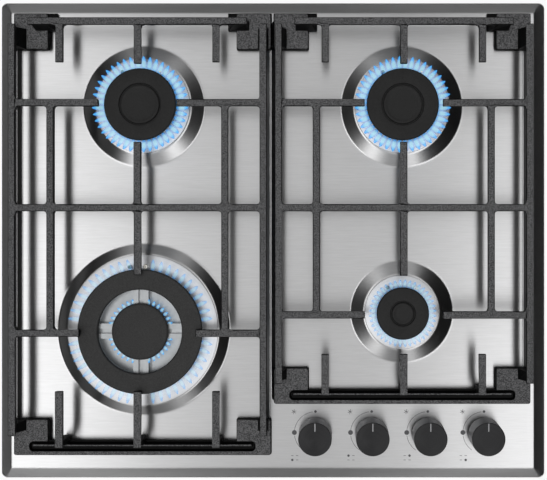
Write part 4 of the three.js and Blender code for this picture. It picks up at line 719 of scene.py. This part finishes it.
# Bright line: the aluminium laid bare by a milled groove.
bare, tree = empty_material("milled_bright_aluminium")
place = add(tree, "ShaderNodeTexCoord")
milled = add(tree, "ShaderNodeTexNoise", {"Vector": place.outputs["Object"], "Scale": 2000.0})
tone = add(tree, "ShaderNodeMix", {
    0: milled.outputs["Fac"], 6: colour("#838386"), 7: colour("#9a9a9c")}, data_type="RGBA")
skin = add(tree, "ShaderNodeBsdfPrincipled", {
    "Base Color": tone.outputs[2], "Metallic": 0.2, "Roughness": 0.5})
add(tree, "ShaderNodeOutputMaterial", {"Surface": skin.outputs["BSDF"]})

KNOB_TAPER, KNOB_WALL, KNOB_BEND = 0.0004, 0.002, 0.0003
SOCKET, SOCKET_TOP, SLEEVE, SLEEVE_FOOT = 0.0044, 0.0037, 0.0065, 0.017  # radii, and depths below the face
FACE_DROP = 0.00008  # the face lies this much below the pointer line
LINE_WIDTH, LINE_LENGTH, LINE_DEPTH = 0.0011, 0.009, 0.0004
for name, (x, y) in zip(KNOBS, knob_places):
    low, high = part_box("knob_" + name)
    radius = (high.x - low.x) / 2
    face = radius - KNOB_TAPER
    top = high.z - FACE_DROP
    profile = eased([(0, high.z - SOCKET_TOP), (SOCKET, high.z - SOCKET_TOP), (SOCKET, high.z - SLEEVE_FOOT),
                     (SLEEVE, high.z - SLEEVE_FOOT), (SLEEVE, high.z - KNOB_WALL),
                     (face - KNOB_WALL, high.z - KNOB_WALL), (radius - KNOB_WALL, low.z), (radius, low.z),
                     (radius, low.z + 0.002), (face + 0.0002, high.z - 0.0004), (face - 0.0002, top),
                     (0, top)], KNOB_BEND, 3)
    dial = turned("dial_" + name, profile, x, y, "knob_" + name, 96, 40)
    give(anthracite, dial)
    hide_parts("knob_" + name)
    line = np.array([(face - LINE_LENGTH, high.z), (face - 0.0008, high.z), (face + 0.00002, high.z - 0.001),
                     (radius - 0.00002, low.z + 0.002)])
    depth = np.array([(0, -LINE_DEPTH), (0, -LINE_DEPTH), (-0.0006, -LINE_DEPTH), (-0.0006, 0)])
    strip = []
    for across_line in (-LINE_WIDTH / 2, LINE_WIDTH / 2):
        for layer in (line, line + depth):
            strip.append(np.column_stack([np.full(4, x + across_line), y + layer[:, 0], layer[:, 1]]))
    strip = np.stack(strip)[[0, 2, 3, 1]]
    a = np.arange(3)[:, None] + np.arange(4)[None] * 4
    b = np.arange(3)[:, None] + ((np.arange(4) + 1) % 4)[None] * 4
    faces = np.stack([a, b, b + 1, a + 1], -1).reshape(-1, 4).tolist() + [[12, 8, 4, 0], [3, 7, 11, 15]]
    pointer = new_piece("pointer_" + name, strip.reshape(-1, 3), faces, "knob_" + name, 20)
    give(bare, pointer)


# ---- Flames ----
# Natural gas flames at the ports: a pale core with blue edges and tips. They stand for the burning gas in
# the photograph and aren't part of the cooktop.

FLAME_ROWS, FLAME_SIDES = 14, 12


def tongues(angles, start, end, base, rise, width, x, y):
    """Tongues from the ports: a centre line that runs outwards and rises as t ^ 1.6, with an oval section
    whose half width is width * sin(pi * t ^ 0.75) ^ 0.6, so it is full and ends round. The UV map holds t
    and |cos| of the angle round the section."""
    t = np.linspace(0, 1, FLAME_ROWS)
    turn = np.arange(FLAME_SIDES) / FLAME_SIDES * 2 * math.pi
    out = start + (end - start) * t
    up = base + rise * t ** 1.6
    fat = width * np.abs(np.sin(math.pi * t ** 0.75)) ** 0.6 + 1e-5
    points = []
    for angle in angles:
        ahead = np.array([math.cos(angle), math.sin(angle)])
        aside = np.array([-math.sin(angle), math.cos(angle)])
        level = (np.array([x, y]) + out[:, None, None] * ahead
                 + (fat[:, None] * np.cos(turn)[None])[..., None] * aside)
        height = up[:, None] + 0.6 * fat[:, None] * np.sin(turn)[None]
        points.append(np.concatenate([level, height[..., None]], -1).reshape(-1, 3))
    faces = grid_faces(FLAME_ROWS, FLAME_SIDES)
    share = np.stack(np.broadcast_arrays(t[:, None], np.abs(np.cos(turn))[None]), -1).reshape(-1, 2)
    faces = np.concatenate([faces + i * FLAME_ROWS * FLAME_SIDES for i in range(len(points))])
    return np.concatenate(points), faces, np.tile(share, (len(points), 1))


def port_angles(count, gap):
    """Port angles without those within gap degrees of a grate finger or a bridge."""
    angle = (np.arange(count) + 0.5) / count * 360
    away = np.abs((angle + 45) % 90 - 45)
    return np.radians(angle[away > gap])


def burning_gas(name, body, point):
    """Burning gas: blue at the port, clear and pale along the tongue, blue again round a cyan tip."""
    made, tree = empty_material(name)
    run = add(tree, "ShaderNodeUVMap", uv_map="run")
    share = add(tree, "ShaderNodeSeparateXYZ", {0: run.outputs["UV"]})
    port = add(tree, "ShaderNodeMapRange", {
        "Value": share.outputs["X"], 1: 0.32, 2: 0.05}, interpolation_type="SMOOTHSTEP")
    tip = add(tree, "ShaderNodeMapRange", {
        "Value": share.outputs["X"], 1: 0.5, 2: 0.85}, interpolation_type="SMOOTHSTEP")
    rim = add(tree, "ShaderNodeMapRange", {
        "Value": share.outputs["Y"], 1: 0.35, 2: 1.0}, interpolation_type="SMOOTHSTEP")
    pale = add(tree, "ShaderNodeMix", {
        0: rim.outputs["Result"], 6: colour("#b4ecff"), 7: colour("#9cc0ff")}, data_type="RGBA")
    deep = add(tree, "ShaderNodeMix", {
        0: rim.outputs["Result"], 6: colour("#5abfff"), 7: colour("#2f5ade")}, data_type="RGBA")
    ends = add(tree, "ShaderNodeMix", {
        0: tip.outputs["Result"], 6: pale.outputs[2], 7: deep.outputs[2]}, data_type="RGBA")
    tone = add(tree, "ShaderNodeMix", {
        0: port.outputs["Result"], 6: ends.outputs[2], 7: colour("#2296f0")}, data_type="RGBA")
    glow = add(tree, "ShaderNodeEmission", {"Color": tone.outputs[2], "Strength": 1.0})
    clear = add(tree, "ShaderNodeBsdfTransparent")
    along = add(tree, "ShaderNodeMapRange", {"Value": tip.outputs["Result"], 3: body, 4: point})
    soft = add(tree, "ShaderNodeMapRange", {"Value": share.outputs["Y"], 1: 1.0, 2: 0.5, 3: 0.45, 4: 1.0})
    veil = add(tree, "ShaderNodeMath", {
        0: along.outputs["Result"], 1: soft.outputs["Result"]}, operation="MULTIPLY")
    blend = add(tree, "ShaderNodeMixShader", {
        0: veil.outputs[0], 1: clear.outputs["BSDF"], 2: glow.outputs["Emission"]})
    add(tree, "ShaderNodeOutputMaterial", {"Surface": blend.outputs["Shader"]})
    return made


full_flame = burning_gas("burning_gas", 0.38, 0.62)
low_flame = burning_gas("burning_gas_low", 0.2, 0.3)
FLAMES = [  # burner, ports, start and end radius, height of the port, rise, half width, gas
    ("rear_left", port_angles(PORTS["rear_left"], 3.5), 0.0365, 0.0505, 0.0655, 0.006, 0.0031, full_flame),
    ("rear_right", port_angles(PORTS["rear_right"], 3.5), 0.0365, 0.0505, 0.0655, 0.006, 0.0031, full_flame),
    ("front_right", port_angles(PORTS["front_right"], 3.5), 0.0262, 0.0355, 0.0655, 0.005, 0.0023, low_flame),
    ("front_left", port_angles(52, 3.5), 0.0635, 0.0765, 0.0655, 0.006, 0.0026, low_flame),
    ("front_left", port_angles(36, 14.0), 0.0285, 0.0345, 0.0660, 0.003, 0.0018, full_flame),
]
for i, (name, angles, start, end, base, rise, width, gas) in enumerate(FLAMES):
    x, y, _ = burner_place(name)
    points, faces, share = tongues(angles, start, end, base, rise, width, x, y)
    mesh = bpy.data.meshes.new(f"flames_{i}")
    mesh.from_pydata(points.tolist(), [], faces.tolist())
    mesh.shade_smooth()
    layer = mesh.uv_layers.new(name="run")
    corner = np.zeros(len(mesh.loops), int)
    mesh.loops.foreach_get("vertex_index", corner)
    layer.data.foreach_set("uv", share[corner].ravel())
    lit = placed(f"flames_{i}", mesh)
    give(gas, lit)


# ---- Floor, light and camera ----
# A white floor, a bright soft box overhead with darker surroundings, and the camera straight above.

FLOOR_HALF, FLOOR_LEVEL = 6, -0.0005
floor_mesh = bpy.data.meshes.new("floor")
corners = [(x * FLOOR_HALF, y * FLOOR_HALF, FLOOR_LEVEL) for x, y in ((-1, -1), (1, -1), (1, 1), (-1, 1))]
floor_mesh.from_pydata(corners, [], [(0, 1, 2, 3)])
floor = placed("floor", floor_mesh)
paper, tree = empty_material("white_studio_floor")
seen = add(tree, "ShaderNodeLightPath")
matt = add(tree, "ShaderNodeBsdfDiffuse", {"Color": colour("#e8e8e8")})
white = add(tree, "ShaderNodeEmission", {"Color": (1, 1, 1, 1), "Strength": 1.0})
share = add(tree, "ShaderNodeMath", {0: seen.outputs["Is Camera Ray"], 1: 0.8}, operation="MULTIPLY")
blend = add(tree, "ShaderNodeMixShader", {
    0: share.outputs[0], 1: matt.outputs["BSDF"], 2: white.outputs["Emission"]})
add(tree, "ShaderNodeOutputMaterial", {"Surface": blend.outputs["Shader"]})
give(paper, floor)

world = bpy.data.worlds.new("studio")
bpy.context.scene.world = world
world.use_nodes = True
tree = world.node_tree
tree.nodes.clear()
way = add(tree, "ShaderNodeTexCoord")
parts = add(tree, "ShaderNodeSeparateXYZ", {0: way.outputs["Generated"]})
up = add(tree, "ShaderNodeMath", {0: parts.outputs["Z"], 1: 0.02}, operation="MAXIMUM")
east = add(tree, "ShaderNodeMath", {0: parts.outputs["X"], 1: up.outputs[0]}, operation="DIVIDE")
north = add(tree, "ShaderNodeMath", {0: parts.outputs["Y"], 1: up.outputs[0]}, operation="DIVIDE")


def levels(value, start, end, steps):
    """Light levels at even steps of value from start to end, with a smooth run from each to the next."""
    share = add(tree, "ShaderNodeMapRange", {"Value": value, 1: start, 2: end})
    ramp = add(tree, "ShaderNodeValToRGB", {"Fac": share.outputs["Result"]})
    stops = ramp.color_ramp
    stops.interpolation = "EASE"
    for i, level in enumerate(steps):
        at = i / (len(steps) - 1)
        stop = stops.elements[i] if i < 2 else stops.elements.new(at)
        stop.position = at
        stop.color = (level, level, level, 1)
    return ramp.outputs["Color"]


def times(a, b):
    return add(tree, "ShaderNodeMath", {0: a, 1: b}, operation="MULTIPLY").outputs[0]


def plus(a, b):
    return add(tree, "ShaderNodeMath", {0: a, 1: b}, operation="ADD").outputs[0]


# The soft box overhead, dimmer in the middle where the camera hangs, by the slopes X/Z and Y/Z, and a weaker
# one behind the camera that lights the middle of the plate.
HALF_WIDTH, HALF_LENGTH, MAIN_BOX, REAR_BOX, DARK_ROOM = 0.7, 1.4, 3.1, 0.8, 0.01
across_box = levels(east.outputs[0], -HALF_WIDTH, HALF_WIDTH,
                    [0, 0.1, 0.6, 1, 0.64, 0.28, 0.17, 0.18, 0.36, 0.8, 0.95, 0.3, 0, 0, 0])
along_box = levels(north.outputs[0], -HALF_LENGTH, HALF_LENGTH,
                   [0, 0.1, 0.3, 0.5, 0.75, 0.9, 0.85, 0.55, 0.3, 0.22, 0.2, 0.2, 0.1, 0, 0])
across_rear = levels(east.outputs[0], -HALF_WIDTH, HALF_WIDTH,
                     [0, 0, 0.1, 0.5, 0.9, 0.9, 1, 1, 0.15, 0, 0, 0, 0, 0, 0])
along_rear = levels(north.outputs[0], -HALF_LENGTH, HALF_LENGTH,
                    [0, 0, 0, 0, 0, 0.1, 0.6, 1, 0.9, 0.5, 0.2, 0.1, 0, 0, 0])
main_box = times(times(across_box, along_box), MAIN_BOX)
rear_box = times(times(across_rear, along_rear), REAR_BOX)
soft_box = plus(main_box, rear_box)
# Low walls of the room: the left one catches a little light, and the front and rear ones where they face it.
side_walls = levels(parts.outputs["X"], -1, 1, [0.06, 0.09, 0, 0, 0, 0, 0, 0, 0, 0, 0])
end_walls = times(levels(parts.outputs["Y"], -1, 1, [0.3, 0.3, 0, 0, 0, 0, 0, 0, 0, 0.12, 0.12]),
                  levels(parts.outputs["X"], -1, 1, [0, 0, 0.6, 1, 0.1, 0.15, 0.4, 0.5, 0, 0, 0]))
walls = plus(side_walls, end_walls)
strength = plus(plus(soft_box, walls), DARK_ROOM)
seen = add(tree, "ShaderNodeLightPath")
room = add(tree, "ShaderNodeBackground", {"Color": (1, 1, 1, 1), "Strength": strength})
backdrop = add(tree, "ShaderNodeBackground", {"Color": (1, 1, 1, 1), "Strength": 1.0})
blend = add(tree, "ShaderNodeMixShader", {
    0: seen.outputs["Is Camera Ray"], 1: room.outputs["Background"], 2: backdrop.outputs["Background"]})
add(tree, "ShaderNodeOutputWorld", {"Surface": blend.outputs["Shader"]})

LAMP_SIDE, LAMP_POWER, LAMP_HEIGHT = 0.4, 24.0, 1.9
lamp_data = bpy.data.lights.new("overhead_lamp", "AREA")
lamp_data.shape, lamp_data.size, lamp_data.size_y = "RECTANGLE", LAMP_SIDE, LAMP_SIDE
lamp_data.energy = LAMP_POWER
lamp = bpy.data.objects.new("overhead_lamp", lamp_data)
lamp.location = (0.0, 0.0, LAMP_HEIGHT)
lamp.visible_glossy = False
lamp.visible_camera = False
bpy.context.scene.collection.objects.link(lamp)

# The photograph's camera hangs over a point to the rear right of the middle and looks straight down. Its
# picture is cropped off centre, which the shift gives.
CAMERA_PLACE, CAMERA_HEIGHT = (0.0641, 0.0239), 0.95  # the height is above the rim's underside
LENS, SENSOR, SHIFT = 58.43, 36.0, (-0.1088, -0.0402)
camera_data = bpy.data.cameras.new("camera")
camera_data.lens, camera_data.sensor_width = LENS, SENSOR
camera_data.shift_x, camera_data.shift_y = SHIFT
camera = bpy.data.objects.new("camera", camera_data)
camera.location = (*CAMERA_PLACE, plate_low.z + CAMERA_HEIGHT)
bpy.context.scene.collection.objects.link(camera)
bpy.context.scene.camera = camera
bpy.context.scene.view_settings.view_transform = "Standard"
